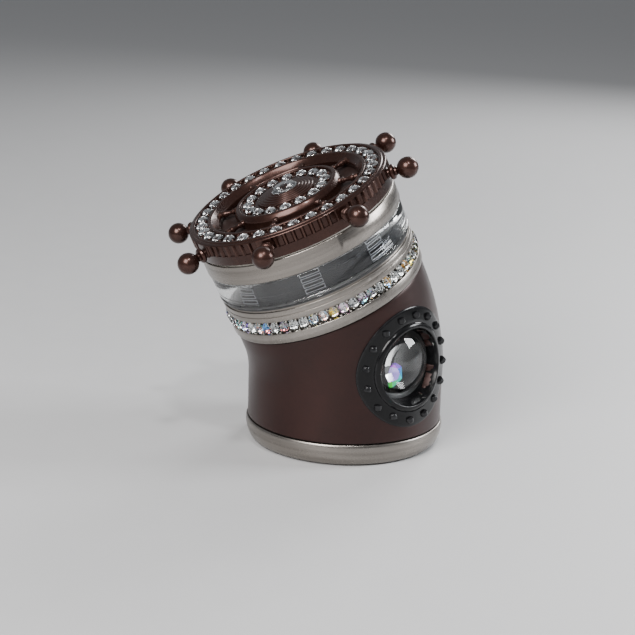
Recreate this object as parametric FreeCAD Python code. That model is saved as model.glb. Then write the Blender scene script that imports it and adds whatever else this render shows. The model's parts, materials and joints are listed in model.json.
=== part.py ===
"""Leaning hand grinder in a ship's style: a wheel-shaped lid, a glass ring and an elbow case with a porthole.

Millimetres, +Z up. The origin is the middle of the foot pad's underside. The head leans towards -X.
Head parts are drawn upright on their own axis, measured from the point where the two axes of the case
cross, and are then leaned into place together. All threads are plain cylinders with THREAD_GAP.
"""
import FreeCAD, Part
import math
import os

from FreeCAD import Placement, Rotation, Vector

# ---- case ----
BODY_RADIUS = 24.5        # outside of the elbow
BODY_WALL = 2.1
LEAN = 25.0               # degrees between the two axes of the elbow
AXES_CROSS = 26.3         # height of the point where the axes cross
BEND_RUN = 9.0            # straight length that the bend takes from each side of that point
MOUTH_STRAIGHT = 4.3      # straight length above the bend, which takes the head's thread
MOUTH_CHAMFER = 0.35
THREAD_GAP = 0.2          # radial gap of every screwed joint
THREAD_LENGTH = 4.3       # of the base cap
SEAL = 0.3                # thickness of the flat seals
SEAL_SETBACK = 0.6        # how far a seal stays inside the outer edge

# ---- base cap ----
BASE_HEIGHT = 6.0
BASE_STANDS = 0.6         # widest part of the cap, beyond the case
BASE_TUCK = 1.5           # how far the cap draws in at its foot
BASE_TAPER = 0.2          # and at its top edge
BASE_FLOOR = 1.9
BASE_WALL = 1.5
PAD_INSET = 4.6
PAD_THICKNESS = 1.0
PAD_PROUD = 0.3

# ---- porthole ----
PORT_TURN = 287.0         # degrees about +Z, from +X
PORT_DROP = 3.6           # below the crossing point
PORT_RISE = 3.0           # degrees that the porthole looks up
PLATE_WIDTH = 3.9         # beyond the bezel's foot
PLATE_THICKNESS = 1.0
PLATE_STANDS = 0.4        # the rest of the plate is let into the case
RIVET_COUNT = 16
RIVET_TURN = -4.0
RIVET_RADIUS = 0.95
RIVET_STANDS = 1.1
BEZEL_LIP = 1.35          # its upper face, which follows the case's curve
BEZEL_STANDS = 0.9        # above the case
WELL_FLARE = 1.0          # the well round the lens is this much wider at the lip
STEM_WALL = 1.9
PORT_GAP = 0.1
LENS_RADIUS = 8.5
LENS_EDGE = 0.7
LENS_CROWN = 3.0
LENS_SINK = 5.6           # from the bezel's lip down to the lens seat
LENS_REST = 1.0           # width of the ledge under the lens
CUP_WALL = 0.8
CUP_DEPTH = 3.7
GEM_RADIUS = 3.7
GEM_HEIGHT = 2.6
GEM_SHIFT = (-1.6, -2.1)  # across and up the porthole

# ---- head, from the mouth upwards ----
HEAD_STANDS = 0.5         # head rings beyond the case
COLLAR_HEIGHT = 2.9
BAND_HEIGHT = 3.1
LOWER_RING_HEIGHT = 3.3
GASKET = 0.4
GLASS_HEIGHT = 6.9
BOWL_HEIGHT = 4.9
GLIDE = 0.4
SKIRT_HEIGHT = 2.5
FLUTE_HEIGHT = 2.8
RIM_SHOULDER = 0.6        # from the top of the flutes to the top of the wheel

BAND_COUNT = 60
BAND_STONE = (2.3, 2.7, 1.75)   # across, along the axis, deep
BAND_FLOOR = 1.5          # channel depth below the head radius
RING_INSET = 0.3          # the ring above the crystals is this much smaller
GLASS_INSET = 0.1
GLASS_WALL = 2.5
SLEEVE_GAP = 0.6          # between glass and sleeve
SLEEVE_WALL = 1.5
SLOT_GROUPS = 8
SLOTS = 4
SLOT_SIZE = (4.4, 0.65)
SLOT_PITCH = 1.3
COLLAR_WALL = 3.0
SIEVE_HEIGHT = 1.2
SIEVE_FRAME = 2.0
SIEVE_CLEARANCE = 0.1
MESH_THICKNESS = 0.25
MESH_HOLE = 0.8
MESH_PITCH = 2.6

# ---- grinding bowl and lid ----
RIM_STANDS = 0.2          # bowl and lid skirt, beyond the head radius
BOWL_WALL = 2.8
BOWL_FLOOR = 1.6
SPIGOT_LENGTH = 3.0
SPIGOT_WALL = 1.5
POST_RADIUS = 4.2
POST_HEIGHT = 1.6
MAGNET_RADIUS = 3.0
MAGNET_GAP = 0.6
TOOTH = (1.1, 1.7)        # half widths across and along its circle
TOOTH_CLEARANCE = 0.3
TOOTH_MARGIN = 1.4        # from the outermost teeth to the lid's spigot
TOOTH_CIRCLES = 4.0       # radial step; circles belong to the bowl and the lid in turn
TOOTH_PITCH = 11.2        # along a circle
DROP_HOLE = 1.5
DROP_PITCH = 6.5
LID_SPIGOT_GAP = 0.3
LID_SPIGOT_WALL = 1.2
LID_SPIGOT_DEPTH = 1.4
LID_PLATE = 1.0
SKIRT_WALL = 2.3
GLIDE_GAP = 0.05

# ---- wheel ----
FLUTE_COUNT = 72
RIB_STANDS = 0.3          # ribs beyond the skirt
FLUTE_DEPTH = 0.55
RIB_WIDTH = 0.8
OPEN_THICKNESS = 2.9      # from the top of the wheel down to the lid plate
RIM_EDGE = 1.4            # from the skirt's radius in to the crystal channel
RIM_BEVEL = (1.7, 1.5)    # run and depth, from the inner bead to the openwork
BEAD = 0.8                # width of the raised beads beside the crystals
CHANNEL_DEPTH = 0.7
RIM_CHANNEL_WIDTH = 3.4
RIM_STONE = 1.5
STONE_PITCH = 4.34
HUB_RADIUS = 13.7
HUB_LIFT = 0.2            # the hub stands above the rim
HUB_BEVEL = (0.9, 1.3)    # run and depth of the hub's outer edge
BOSS_RADIUS = 7.5
HUB_STONE = 1.45
HUB_STONES = 16
STONE_HEIGHT = 0.95
SPOKE_COUNT = 8
SPOKE_RADIUS = 0.78
SPOKE_WAIST = 0.5
SPOKE_DROP = 1.35         # spoke axis below the top of the wheel
SPOKE_BITE = 0.5
WHEEL_TURN = 8.5          # degrees from the lean direction to the first handle
BOSS_STEPS = 5
BOSS_RISE = 0.95
BOSS_EDGE = 0.55
CENTRE_STONE = 3.3
SCREW_COUNT = 4
SCREW_RADIUS = 0.8
SCREW_HEAD = 1.5
SCREW_LENGTH = 2.2

# ---- handles, along their own axis from the skirt ----
HANDLE_DROP = 2.8         # axis below the top of the wheel
HANDLE_STEM = 0.8
HANDLE_BITE = 1.9
HANDLE_NECK = 1.15
HANDLE_BEAD = (1.9, 1.5)  # radius, width
HANDLE_GAP = 0.7          # bare neck either side of the bead
BALL_RADIUS = 2.6

# ---- heights on the head's own axis ----
MOUTH = BEND_RUN + MOUTH_STRAIGHT
COLLAR_FOOT = MOUTH + SEAL
BAND_FOOT = MOUTH + COLLAR_HEIGHT
BAND_TOP = BAND_FOOT + BAND_HEIGHT
RING_TOP = BAND_TOP + LOWER_RING_HEIGHT
GLASS_FOOT = RING_TOP + GASKET
GLASS_TOP = GLASS_FOOT + GLASS_HEIGHT
BOWL_FOOT = GLASS_TOP + SEAL
BOWL_INSIDE = BOWL_FOOT + BOWL_FLOOR
BOWL_TOP = BOWL_FOOT + BOWL_HEIGHT
LID_FOOT = BOWL_TOP + GLIDE
FLUTE_FOOT = LID_FOOT + SKIRT_HEIGHT
FLUTE_TOP = FLUTE_FOOT + FLUTE_HEIGHT
WHEEL_TOP = FLUTE_TOP + RIM_SHOULDER
PLATE_TOP = WHEEL_TOP - OPEN_THICKNESS
PLATE_FOOT = PLATE_TOP - LID_PLATE
POST_TOP = BOWL_INSIDE + POST_HEIGHT
HUB_TOP = WHEEL_TOP + HUB_LIFT
HUB_FLOOR = HUB_TOP - CHANNEL_DEPTH

# ---- radii that follow from the sizes above ----
HEAD_RADIUS = BODY_RADIUS + HEAD_STANDS
BASE_RADIUS = BODY_RADIUS + BASE_STANDS
PAD_RADIUS = BASE_RADIUS - PAD_INSET
BODY_BORE = BODY_RADIUS - BODY_WALL
SPIGOT_RADIUS = BODY_BORE - THREAD_GAP
CHANNEL_RADIUS = HEAD_RADIUS - BAND_FLOOR
GLASS_RADIUS = HEAD_RADIUS - GLASS_INSET
GLASS_BORE = GLASS_RADIUS - GLASS_WALL
SLEEVE_RADIUS = GLASS_BORE - SLEEVE_GAP
SLEEVE_BORE = SLEEVE_RADIUS - SLEEVE_WALL
LOWER_RING_RADIUS = HEAD_RADIUS - RING_INSET
RIM_RADIUS = HEAD_RADIUS + RIM_STANDS
BOWL_BORE = RIM_RADIUS - BOWL_WALL
BOWL_SPIGOT = SLEEVE_BORE - THREAD_GAP
SKIRT_BORE = RIM_RADIUS - SKIRT_WALL
LID_SPIGOT = BOWL_BORE - LID_SPIGOT_GAP
COLLAR_BORE = SPIGOT_RADIUS - COLLAR_WALL
RIM_CHANNEL = (RIM_RADIUS - RIM_EDGE - RIM_CHANNEL_WIDTH, RIM_RADIUS - RIM_EDGE)
RIM_CIRCLE = sum(RIM_CHANNEL) / 2
RIM_INSIDE = RIM_CHANNEL[0] - BEAD - RIM_BEVEL[0]
HUB_CHANNEL = (BOSS_RADIUS, HUB_RADIUS - HUB_BEVEL[0] - BEAD)
HUB_CIRCLE = sum(HUB_CHANNEL) / 2 + 0.15

PORT_HEIGHT = AXES_CROSS - PORT_DROP
SIGHT_RADIUS = LENS_RADIUS - LENS_REST
BEZEL_STEM = SIGHT_RADIUS + STEM_WALL
WELL_RADIUS = LENS_RADIUS + PORT_GAP
BEZEL_FOOT = WELL_RADIUS + WELL_FLARE + BEZEL_LIP
PLATE_RADIUS = BEZEL_FOOT + PLATE_WIDTH
RIVET_CIRCLE = BEZEL_FOOT + PLATE_WIDTH / 2
BEND_RADIUS = BEND_RUN / math.tan(math.radians(LEAN / 2))
BEND_FOOT = AXES_CROSS - BEND_RUN

UP = Vector(0, 0, 1)
HEAD_FRAME = Placement(Vector(0, 0, AXES_CROSS), Rotation(Vector(0, 1, 0), -LEAN))


def port_frame():
    """Placement whose Z axis is the porthole's own axis, out of the case, and whose Y axis is up."""
    turn, rise = math.radians(PORT_TURN), math.radians(PORT_RISE)
    out = Vector(math.cos(turn) * math.cos(rise), math.sin(turn) * math.cos(rise), math.sin(rise))
    across = UP.cross(out).normalize()
    return Placement(Vector(0, 0, PORT_HEIGHT), Rotation(across, out.cross(across), out, "ZXY"))


PORT_FRAME = port_frame()


# ---- drawing helpers ----
def lathe(points, arcs=()):
    """Solid of revolution about Z. points are (radius, height); arcs maps a corner's index to its rounding."""
    rounded = dict(arcs)
    corners = [Vector(r, 0, z) for r, z in points]
    edges, start, first = [], None, None
    count = len(corners)
    for i, corner in enumerate(corners):
        size = rounded.get(i, 0)
        if size:
            into = (corners[i - 1] - corner).normalize()
            away = (corners[(i + 1) % count] - corner).normalize()
            half = into.getAngle(away) / 2
            reach = size / math.tan(half)
            enter, leave = corner + into * reach, corner + away * reach
            middle = corner + (into + away).normalize() * (size / math.sin(half) - size)
        else:
            enter = leave = corner
        if start is None:
            first = enter
        elif (enter - start).Length > 1e-7:
            edges.append(Part.LineSegment(start, enter).toShape())
        if size:
            edges.append(Part.Arc(enter, middle, leave).toShape())
        start = leave
    if (first - start).Length > 1e-7:
        edges.append(Part.LineSegment(start, first).toShape())
    face = Part.Face(Part.Wire(edges))
    return face.revolve(Vector(0, 0, 0), UP, 360)


def ring(inner, outer, low, high):
    """Plain ring about Z."""
    return lathe([(inner, low), (outer, low), (outer, high), (inner, high)])


def disc(radius, low, high):
    """Plain cylinder about Z, from one height to another."""
    return Part.makeCylinder(radius, high - low, Vector(0, 0, low))


def around(shape, count, start=0.0):
    """Copies of a shape spaced evenly about Z, the first turned by start degrees."""
    copies = []
    for i in range(count):
        copy = shape.copy()
        copy.rotate(Vector(0, 0, 0), UP, start + 360.0 * i / count)
        copies.append(copy)
    return copies


def one_solid(shape):
    """The largest solid of a boolean's result, with its seams cleaned."""
    solids = sorted(shape.Solids, key=lambda s: s.Volume)
    return solids[-1].removeSplitter()


def along_x(shape, height):
    """Lays a lathe solid along +X at a height, its own Z axis turned outwards."""
    return shape.transformed(Placement(Vector(0, 0, height), Rotation(Vector(0, 1, 0), 90)).toMatrix())


def save(name, shapes, frame=None):
    """Writes one node's solids as a STEP file, after moving them into a frame."""
    shapes = shapes if isinstance(shapes, list) else [shapes]
    if frame is not None:
        shapes = [s.transformed(frame.toMatrix()) for s in shapes]
    solids = [solid for s in shapes for solid in s.Solids]
    for solid in solids:
        if not solid.isValid() or solid.Volume <= 0:
            raise ValueError(name + " has a bad solid")
    shape = solids[0] if len(solids) == 1 else Part.makeCompound(solids)
    shape.exportStep("parts/" + name + ".step")
    print(name, len(solids), round(shape.Volume, 2))


# ---- case ----
def elbow(radius, low, mouth):
    """Solid elbow of one radius, from a height on the upright axis to a distance up the leaning one."""
    upright = disc(radius, low, BEND_FOOT)
    section = Part.Face(Part.Wire(Part.makeCircle(radius, Vector(0, 0, BEND_FOOT), UP)))
    bend = section.revolve(Vector(-BEND_RADIUS, 0, BEND_FOOT), Vector(0, 1, 0), -LEAN)
    leaning = disc(radius, BEND_RUN, mouth).transformed(HEAD_FRAME.toMatrix())
    return one_solid(upright.fuse([bend, leaning]))


def port_cylinder(radius, low, high):
    """Cylinder on the porthole's axis, measured out from the case's upright axis."""
    return disc(radius, low, high).transformed(PORT_FRAME.toMatrix())


def plate_blank():
    """Saddle-shaped disc of the porthole plate, before its hole is cut."""
    outside = elbow(BODY_RADIUS + PLATE_STANDS, BASE_HEIGHT, MOUTH)
    saddle = outside.cut(elbow(BODY_RADIUS + PLATE_STANDS - PLATE_THICKNESS, 0, MOUTH + 5))
    return saddle.common(port_cylinder(PLATE_RADIUS, BODY_RADIUS / 3, BODY_RADIUS * 2))


def make_elbow_body():
    outside = elbow(BODY_RADIUS, BASE_HEIGHT, MOUTH)
    edges = [e for e in outside.Edges if len(e.Vertexes) == 1 and abs(e.Length - math.tau * BODY_RADIUS) < 0.01]
    ends = [e for e in edges if e.CenterOfMass.z < BASE_HEIGHT + 0.1 or e.CenterOfMass.z > AXES_CROSS + BEND_RUN]
    outside = outside.makeChamfer(MOUTH_CHAMFER, ends)
    inside = elbow(BODY_BORE, BASE_HEIGHT - 1, MOUTH + 1)
    hole = port_cylinder(BEZEL_STEM + PORT_GAP, BODY_RADIUS / 2, BODY_RADIUS * 2)
    return one_solid(outside.cut([inside, hole, plate_blank()]))


# ---- base ----
def make_base_cap():
    shoulder = BASE_HEIGHT - SEAL
    waist = (PAD_PROUD + shoulder) / 2
    floor = PAD_PROUD + BASE_FLOOR
    outline = [
        (0, PAD_THICKNESS), (PAD_RADIUS, PAD_THICKNESS), (PAD_RADIUS, PAD_PROUD),
        (BASE_RADIUS - BASE_TUCK, PAD_PROUD), (BASE_RADIUS, waist), (BASE_RADIUS - BASE_TAPER, shoulder),
        (SPIGOT_RADIUS, shoulder), (SPIGOT_RADIUS, BASE_HEIGHT + THREAD_LENGTH),
        (SPIGOT_RADIUS - BASE_WALL, BASE_HEIGHT + THREAD_LENGTH), (SPIGOT_RADIUS - BASE_WALL, floor), (0, floor),
    ]
    return lathe(outline, {3: 0.7, 4: 2.2, 5: 0.3, 7: 0.3, 8: 0.3, 9: 0.8})


def make_foot_pad():
    return lathe([(0, 0), (PAD_RADIUS, 0), (PAD_RADIUS, PAD_THICKNESS), (0, PAD_THICKNESS)], {1: 0.2})


def make_flat_seal(height):
    return ring(BODY_BORE + 0.1, BODY_RADIUS - SEAL_SETBACK, height - SEAL, height)


# ---- porthole ----
def make_porthole_plate():
    hole = port_cylinder(BEZEL_FOOT, BODY_RADIUS / 3, BODY_RADIUS * 2)
    return one_solid(plate_blank().cut(hole))


def surface_point(radius, angle, surface):
    """Point and outward normal on an elbow surface, beside the porthole's axis at a radius and an angle."""
    offset = Vector(radius * math.cos(angle), radius * math.sin(angle), 0)
    start = PORT_FRAME.multVec(offset)
    away = PORT_FRAME.Rotation.multVec(Vector(0, 0, BODY_RADIUS * 2))
    hit = Part.LineSegment(start, start + away).toShape().common(surface)
    point = max((v.Point for v in hit.Vertexes), key=lambda p: (p - start).Length)
    outside = min(surface.Faces, key=lambda f: f.distToShape(Part.Vertex(point))[0])
    u, v = outside.Surface.parameter(point)
    normal = outside.normalAt(u, v)
    return point, normal if normal.dot(away) > 0 else normal * -1


def make_porthole_rivets():
    surface = elbow(BODY_RADIUS + PLATE_STANDS, 0, MOUTH + 5)
    rivets = []
    for i in range(RIVET_COUNT):
        angle = math.tau * i / RIVET_COUNT + math.radians(RIVET_TURN)
        point, normal = surface_point(RIVET_CIRCLE, angle, surface)
        outline = [(0, -0.4), (RIVET_RADIUS, -0.4), (RIVET_RADIUS, RIVET_STANDS), (0, RIVET_STANDS)]
        stud = lathe(outline, {2: RIVET_RADIUS * 0.45})
        placed = stud.transformed(Placement(point, Rotation(UP, normal)).toMatrix())
        rivets.append(one_solid(placed.cut(surface)))
    return rivets


BEZEL_FACE = BODY_RADIUS + BEZEL_STANDS
LENS_SEAT = BEZEL_FACE - LENS_SINK
CUP_MOUTH = LENS_SEAT - GASKET


def make_porthole_bezel(case):
    low = math.sqrt(BODY_BORE ** 2 - BEZEL_STEM ** 2) + 0.2
    outline = [
        (SIGHT_RADIUS, low - 2.5), (BEZEL_STEM, low - 2.5), (BEZEL_STEM, low), (BEZEL_FOOT, low),
        (BEZEL_FOOT, BEZEL_FACE + 1), (WELL_RADIUS + WELL_FLARE, BEZEL_FACE + 1),
        (WELL_RADIUS + WELL_FLARE, BEZEL_FACE), (WELL_RADIUS, LENS_SEAT + LENS_EDGE),
        (WELL_RADIUS, CUP_MOUTH), (SIGHT_RADIUS, CUP_MOUTH),
    ]
    turned = lathe(outline).transformed(PORT_FRAME.toMatrix())
    curved = turned.common(elbow(BODY_RADIUS + BEZEL_STANDS, 0, MOUTH + 5))
    return one_solid(curved.cut(case))


def make_lens_gasket():
    return ring(SIGHT_RADIUS, LENS_RADIUS, CUP_MOUTH, LENS_SEAT)


def make_porthole_lens():
    edge = LENS_SEAT + LENS_EDGE
    curve = (LENS_RADIUS ** 2 + LENS_CROWN ** 2) / (2 * LENS_CROWN)
    middle = math.asin(LENS_RADIUS / curve) / 2
    bulge = Vector(curve * math.sin(middle), 0, edge + LENS_CROWN - curve + curve * math.cos(middle))
    foot, rim = Vector(LENS_RADIUS, 0, LENS_SEAT), Vector(LENS_RADIUS, 0, edge)
    low, top = Vector(0, 0, LENS_SEAT), Vector(0, 0, edge + LENS_CROWN)
    sides = [Part.LineSegment(low, foot), Part.LineSegment(foot, rim), Part.Arc(rim, bulge, top)]
    edges = [side.toShape() for side in sides] + [Part.LineSegment(top, low).toShape()]
    return Part.Face(Part.Wire(edges)).revolve(Vector(0, 0, 0), UP, 360)


def make_lens_cup():
    outer, floor = SIGHT_RADIUS - PORT_GAP / 2, CUP_MOUTH - CUP_DEPTH
    outline = [
        (0, floor), (outer, floor), (outer, CUP_MOUTH), (outer - CUP_WALL, CUP_MOUTH),
        (outer - CUP_WALL, floor + CUP_WALL), (0, floor + CUP_WALL),
    ]
    return lathe(outline, {1: 0.5})


def make_porthole_gem():
    foot = CUP_MOUTH - CUP_DEPTH + CUP_WALL
    girdle, table = foot + GEM_HEIGHT * 0.55, foot + GEM_HEIGHT
    gem = lathe([(0, foot), (GEM_RADIUS * 0.45, foot), (GEM_RADIUS, girdle), (GEM_RADIUS * 0.55, table), (0, table)])
    gem.translate(Vector(GEM_SHIFT[0], GEM_SHIFT[1], 0))
    return gem


# ---- head ----
def make_crystal_collar():
    outline = [
        (COLLAR_BORE, BEND_RUN), (SPIGOT_RADIUS, BEND_RUN), (SPIGOT_RADIUS, COLLAR_FOOT),
        (HEAD_RADIUS, COLLAR_FOOT), (HEAD_RADIUS, BAND_FOOT), (CHANNEL_RADIUS, BAND_FOOT),
        (CHANNEL_RADIUS, BAND_TOP), (SLEEVE_RADIUS, BAND_TOP), (SLEEVE_RADIUS, BAND_FOOT), (COLLAR_BORE, BAND_FOOT),
    ]
    return lathe(outline, {1: 0.3, 3: 0.3, 4: 0.2})


def make_band_crystals():
    across, tall, deep = BAND_STONE
    middle, crown = (BAND_FOOT + BAND_TOP) / 2, deep * 0.4
    stone = Part.makeBox(deep, across, tall, Vector(CHANNEL_RADIUS, -across / 2, middle - tall / 2))
    front = [e for e in stone.Edges if abs(e.CenterOfMass.x - CHANNEL_RADIUS - deep) < 1e-6]
    stone = stone.makeChamfer(crown, front)
    seat = disc(CHANNEL_RADIUS, BAND_FOOT, BAND_TOP)
    return around(one_solid(stone.cut(seat)), BAND_COUNT)


def make_lower_ring():
    outline = [
        (SLEEVE_RADIUS, BAND_TOP), (LOWER_RING_RADIUS, BAND_TOP), (LOWER_RING_RADIUS, RING_TOP - 0.5),
        (LOWER_RING_RADIUS - 0.25, RING_TOP - 0.25), (LOWER_RING_RADIUS - 0.25, RING_TOP),
        (SLEEVE_RADIUS, RING_TOP),
    ]
    return lathe(outline, {1: 0.15})


def make_glass_gasket():
    return ring(GLASS_BORE, GLASS_RADIUS - 0.35, RING_TOP, GLASS_FOOT)


def make_glass_ring():
    outline = [
        (GLASS_BORE, GLASS_FOOT), (GLASS_RADIUS, GLASS_FOOT), (GLASS_RADIUS, GLASS_TOP), (GLASS_BORE, GLASS_TOP),
    ]
    return lathe(outline, {0: 0.25, 1: 0.4, 2: 0.25, 3: 0.25})


def make_sifter_sleeve():
    tube = ring(SLEEVE_BORE, SLEEVE_RADIUS, BAND_FOOT, GLASS_TOP)
    width, tall = SLOT_SIZE
    middle = (GLASS_FOOT + GLASS_TOP) / 2
    cuts = []
    for row in range(SLOTS):
        height = middle + (row - (SLOTS - 1) / 2) * SLOT_PITCH
        slot = Part.makeBox(SLEEVE_WALL * 4, width, tall, Vector(SLEEVE_BORE - SLEEVE_WALL, -width / 2, height - tall / 2))
        cuts += around(slot, SLOT_GROUPS, 180.0 / SLOT_GROUPS)
    return one_solid(tube.cut(cuts))


SIEVE_RADIUS = SLEEVE_BORE - SIEVE_CLEARANCE


def make_sieve_frame():
    return ring(SIEVE_RADIUS - SIEVE_FRAME, SIEVE_RADIUS, BAND_FOOT, BAND_FOOT + SIEVE_HEIGHT)


def make_sieve_mesh():
    radius, low = SIEVE_RADIUS - SIEVE_FRAME, BAND_FOOT + SIEVE_HEIGHT / 2
    sheet = disc(radius, low, low + MESH_THICKNESS)
    rows = int(radius / MESH_PITCH) + 1
    holes = []
    for i in range(-rows, rows + 1):
        for j in range(-rows, rows + 1):
            x, y = MESH_PITCH * (i + (j % 2) / 2), MESH_PITCH * j * math.sqrt(3) / 2
            if math.hypot(x, y) < radius - MESH_PITCH * 0.6:
                holes.append(Part.makeCylinder(MESH_HOLE, 1, Vector(x, y, low - 0.3)))
    return one_solid(sheet.cut(holes))


# ---- bowl ----
def spread(radius, pitch):
    """Whole number of pieces that fit round a circle at about a pitch."""
    return round(math.tau * radius / pitch)


def tooth_circles():
    """Radii of the tooth circles, from the outside in: bowl, lid, bowl, lid and so on."""
    circles = []
    radius = LID_SPIGOT - LID_SPIGOT_WALL - TOOTH_MARGIN - TOOTH[0]
    while radius > POST_RADIUS + TOOTH[0]:
        circles.append(radius)
        radius -= TOOTH_CIRCLES
    return circles


def teeth(circles, foot, top):
    """Every tooth of one side, on its circles."""
    return [t for radius in circles for t in around(tooth(radius, foot, top), spread(radius, TOOTH_PITCH))]


def tooth(circle, foot, top):
    """Diamond-plan grinding tooth standing between two heights, its point cut short."""
    across, along = TOOTH
    corners = [Vector(circle + across, 0, foot), Vector(circle, along, foot)]
    corners += [Vector(circle - across, 0, foot), Vector(circle, -along, foot)]
    return Part.Face(Part.makePolygon(corners + corners[:1])).extrude(Vector(0, 0, top - foot))


def make_grind_bowl():
    outline = [
        (0, BOWL_FOOT), (BOWL_SPIGOT - SPIGOT_WALL, BOWL_FOOT), (BOWL_SPIGOT - SPIGOT_WALL, BOWL_FOOT - SPIGOT_LENGTH),
        (BOWL_SPIGOT, BOWL_FOOT - SPIGOT_LENGTH), (BOWL_SPIGOT, BOWL_FOOT), (RIM_RADIUS, BOWL_FOOT),
        (RIM_RADIUS, BOWL_TOP), (BOWL_BORE, BOWL_TOP), (BOWL_BORE, BOWL_INSIDE), (POST_RADIUS, BOWL_INSIDE),
        (POST_RADIUS, POST_TOP), (MAGNET_RADIUS, POST_TOP), (MAGNET_RADIUS, BOWL_INSIDE), (0, BOWL_INSIDE),
    ]
    bowl = lathe(outline, {3: 0.3, 5: 0.25, 6: 0.3, 8: 0.6, 10: 0.2})
    holes = []
    for circle in tooth_circles()[1::2]:
        hole = Part.makeCylinder(DROP_HOLE, BOWL_FLOOR + 2, Vector(circle, 0, BOWL_FOOT - 1))
        holes += around(hole, spread(circle, DROP_PITCH))
    return one_solid(bowl.cut(holes))


def make_bowl_teeth():
    return teeth(tooth_circles()[0::2], BOWL_INSIDE, PLATE_FOOT - TOOTH_CLEARANCE)


def make_bowl_magnet():
    return lathe([(0, BOWL_INSIDE), (MAGNET_RADIUS, BOWL_INSIDE), (MAGNET_RADIUS, POST_TOP), (0, POST_TOP)], {2: 0.2})


def make_bowl_gasket():
    return ring(SLEEVE_BORE + 0.1, RIM_RADIUS - SEAL_SETBACK, GLASS_TOP, BOWL_FOOT)


# ---- lid ----
def make_glide_ring():
    return ring(LID_SPIGOT + GLIDE_GAP, RIM_RADIUS - SEAL_SETBACK, BOWL_TOP, LID_FOOT)


MAGNET_FACE = POST_TOP + MAGNET_GAP


def make_lid_plate():
    outer = SKIRT_BORE - GLIDE_GAP
    outline = [
        (0, MAGNET_FACE + POST_HEIGHT), (MAGNET_RADIUS, MAGNET_FACE + POST_HEIGHT), (MAGNET_RADIUS, MAGNET_FACE),
        (POST_RADIUS, MAGNET_FACE), (POST_RADIUS, PLATE_FOOT), (LID_SPIGOT - LID_SPIGOT_WALL, PLATE_FOOT),
        (LID_SPIGOT - LID_SPIGOT_WALL, BOWL_TOP - LID_SPIGOT_DEPTH), (LID_SPIGOT, BOWL_TOP - LID_SPIGOT_DEPTH),
        (LID_SPIGOT, LID_FOOT + GLIDE_GAP), (outer, LID_FOOT + GLIDE_GAP), (outer, PLATE_TOP), (0, PLATE_TOP),
    ]
    plate = lathe(outline, {5: 0.3, 7: 0.3})
    return one_solid(plate.cut(lid_screws()))


def make_lid_teeth():
    return teeth(tooth_circles()[1::2], BOWL_INSIDE + TOOTH_CLEARANCE, PLATE_FOOT)


def make_lid_magnet():
    high = MAGNET_FACE + POST_HEIGHT
    return lathe([(0, MAGNET_FACE), (MAGNET_RADIUS, MAGNET_FACE), (MAGNET_RADIUS, high), (0, high)], {1: 0.2})


def lid_screws():
    """Countersunk screws up through the lid plate into the hub."""
    outline = [
        (0, PLATE_FOOT), (SCREW_HEAD, PLATE_FOOT), (SCREW_RADIUS, PLATE_FOOT + SCREW_HEAD - SCREW_RADIUS),
        (SCREW_RADIUS, PLATE_FOOT + SCREW_LENGTH), (0, PLATE_FOOT + SCREW_LENGTH),
    ]
    screw = lathe(outline)
    screw.translate(Vector(HUB_CIRCLE, 0, 0))
    return around(screw, SCREW_COUNT, WHEEL_TURN + 180.0 / SPOKE_COUNT)


def make_rim():
    """Rim, skirt and crystal channel of the wheel, before the flutes are cut."""
    inside, outside = RIM_CHANNEL
    rib = RIM_RADIUS + RIB_STANDS
    floor = WHEEL_TOP - CHANNEL_DEPTH
    outline = [
        (SKIRT_BORE, LID_FOOT), (RIM_RADIUS, LID_FOOT), (RIM_RADIUS, FLUTE_FOOT), (rib, FLUTE_FOOT),
        (rib, FLUTE_TOP), (outside + BEAD, WHEEL_TOP), (outside, WHEEL_TOP), (outside, floor),
        (inside, floor), (inside, WHEEL_TOP), (inside - BEAD, WHEEL_TOP),
        (RIM_INSIDE, WHEEL_TOP - RIM_BEVEL[1]), (RIM_INSIDE, PLATE_TOP), (SKIRT_BORE, PLATE_TOP),
    ]
    return lathe(outline, {1: 0.25, 4: 0.35, 5: 0.3, 6: 0.22, 9: 0.22, 10: 0.3, 11: 0.3})


def make_hub():
    """Hub of the wheel, with its own crystal channel."""
    outside = HUB_CHANNEL[1]
    outline = [
        (0, PLATE_TOP), (HUB_RADIUS, PLATE_TOP), (HUB_RADIUS, HUB_TOP - HUB_BEVEL[1]), (outside + BEAD, HUB_TOP),
        (outside, HUB_TOP), (outside, HUB_FLOOR), (0, HUB_FLOOR),
    ]
    return lathe(outline, {2: 0.3, 3: 0.3, 4: 0.22})


def make_spoke():
    """Turned spoke along +X, from the hub to the rim."""
    low, high = HUB_RADIUS - SPOKE_BITE, RIM_INSIDE + SPOKE_BITE
    span = high - low
    outline = [
        (0, low), (SPOKE_RADIUS, low), (SPOKE_RADIUS, low + span * 0.3), (SPOKE_WAIST, low + span * 0.45),
        (SPOKE_WAIST, low + span * 0.6), (SPOKE_RADIUS, low + span * 0.8), (SPOKE_RADIUS, high), (0, high),
    ]
    return along_x(lathe(outline, {2: 0.4, 3: 0.4, 4: 0.4, 5: 0.4}), WHEEL_TOP - SPOKE_DROP)


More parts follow.
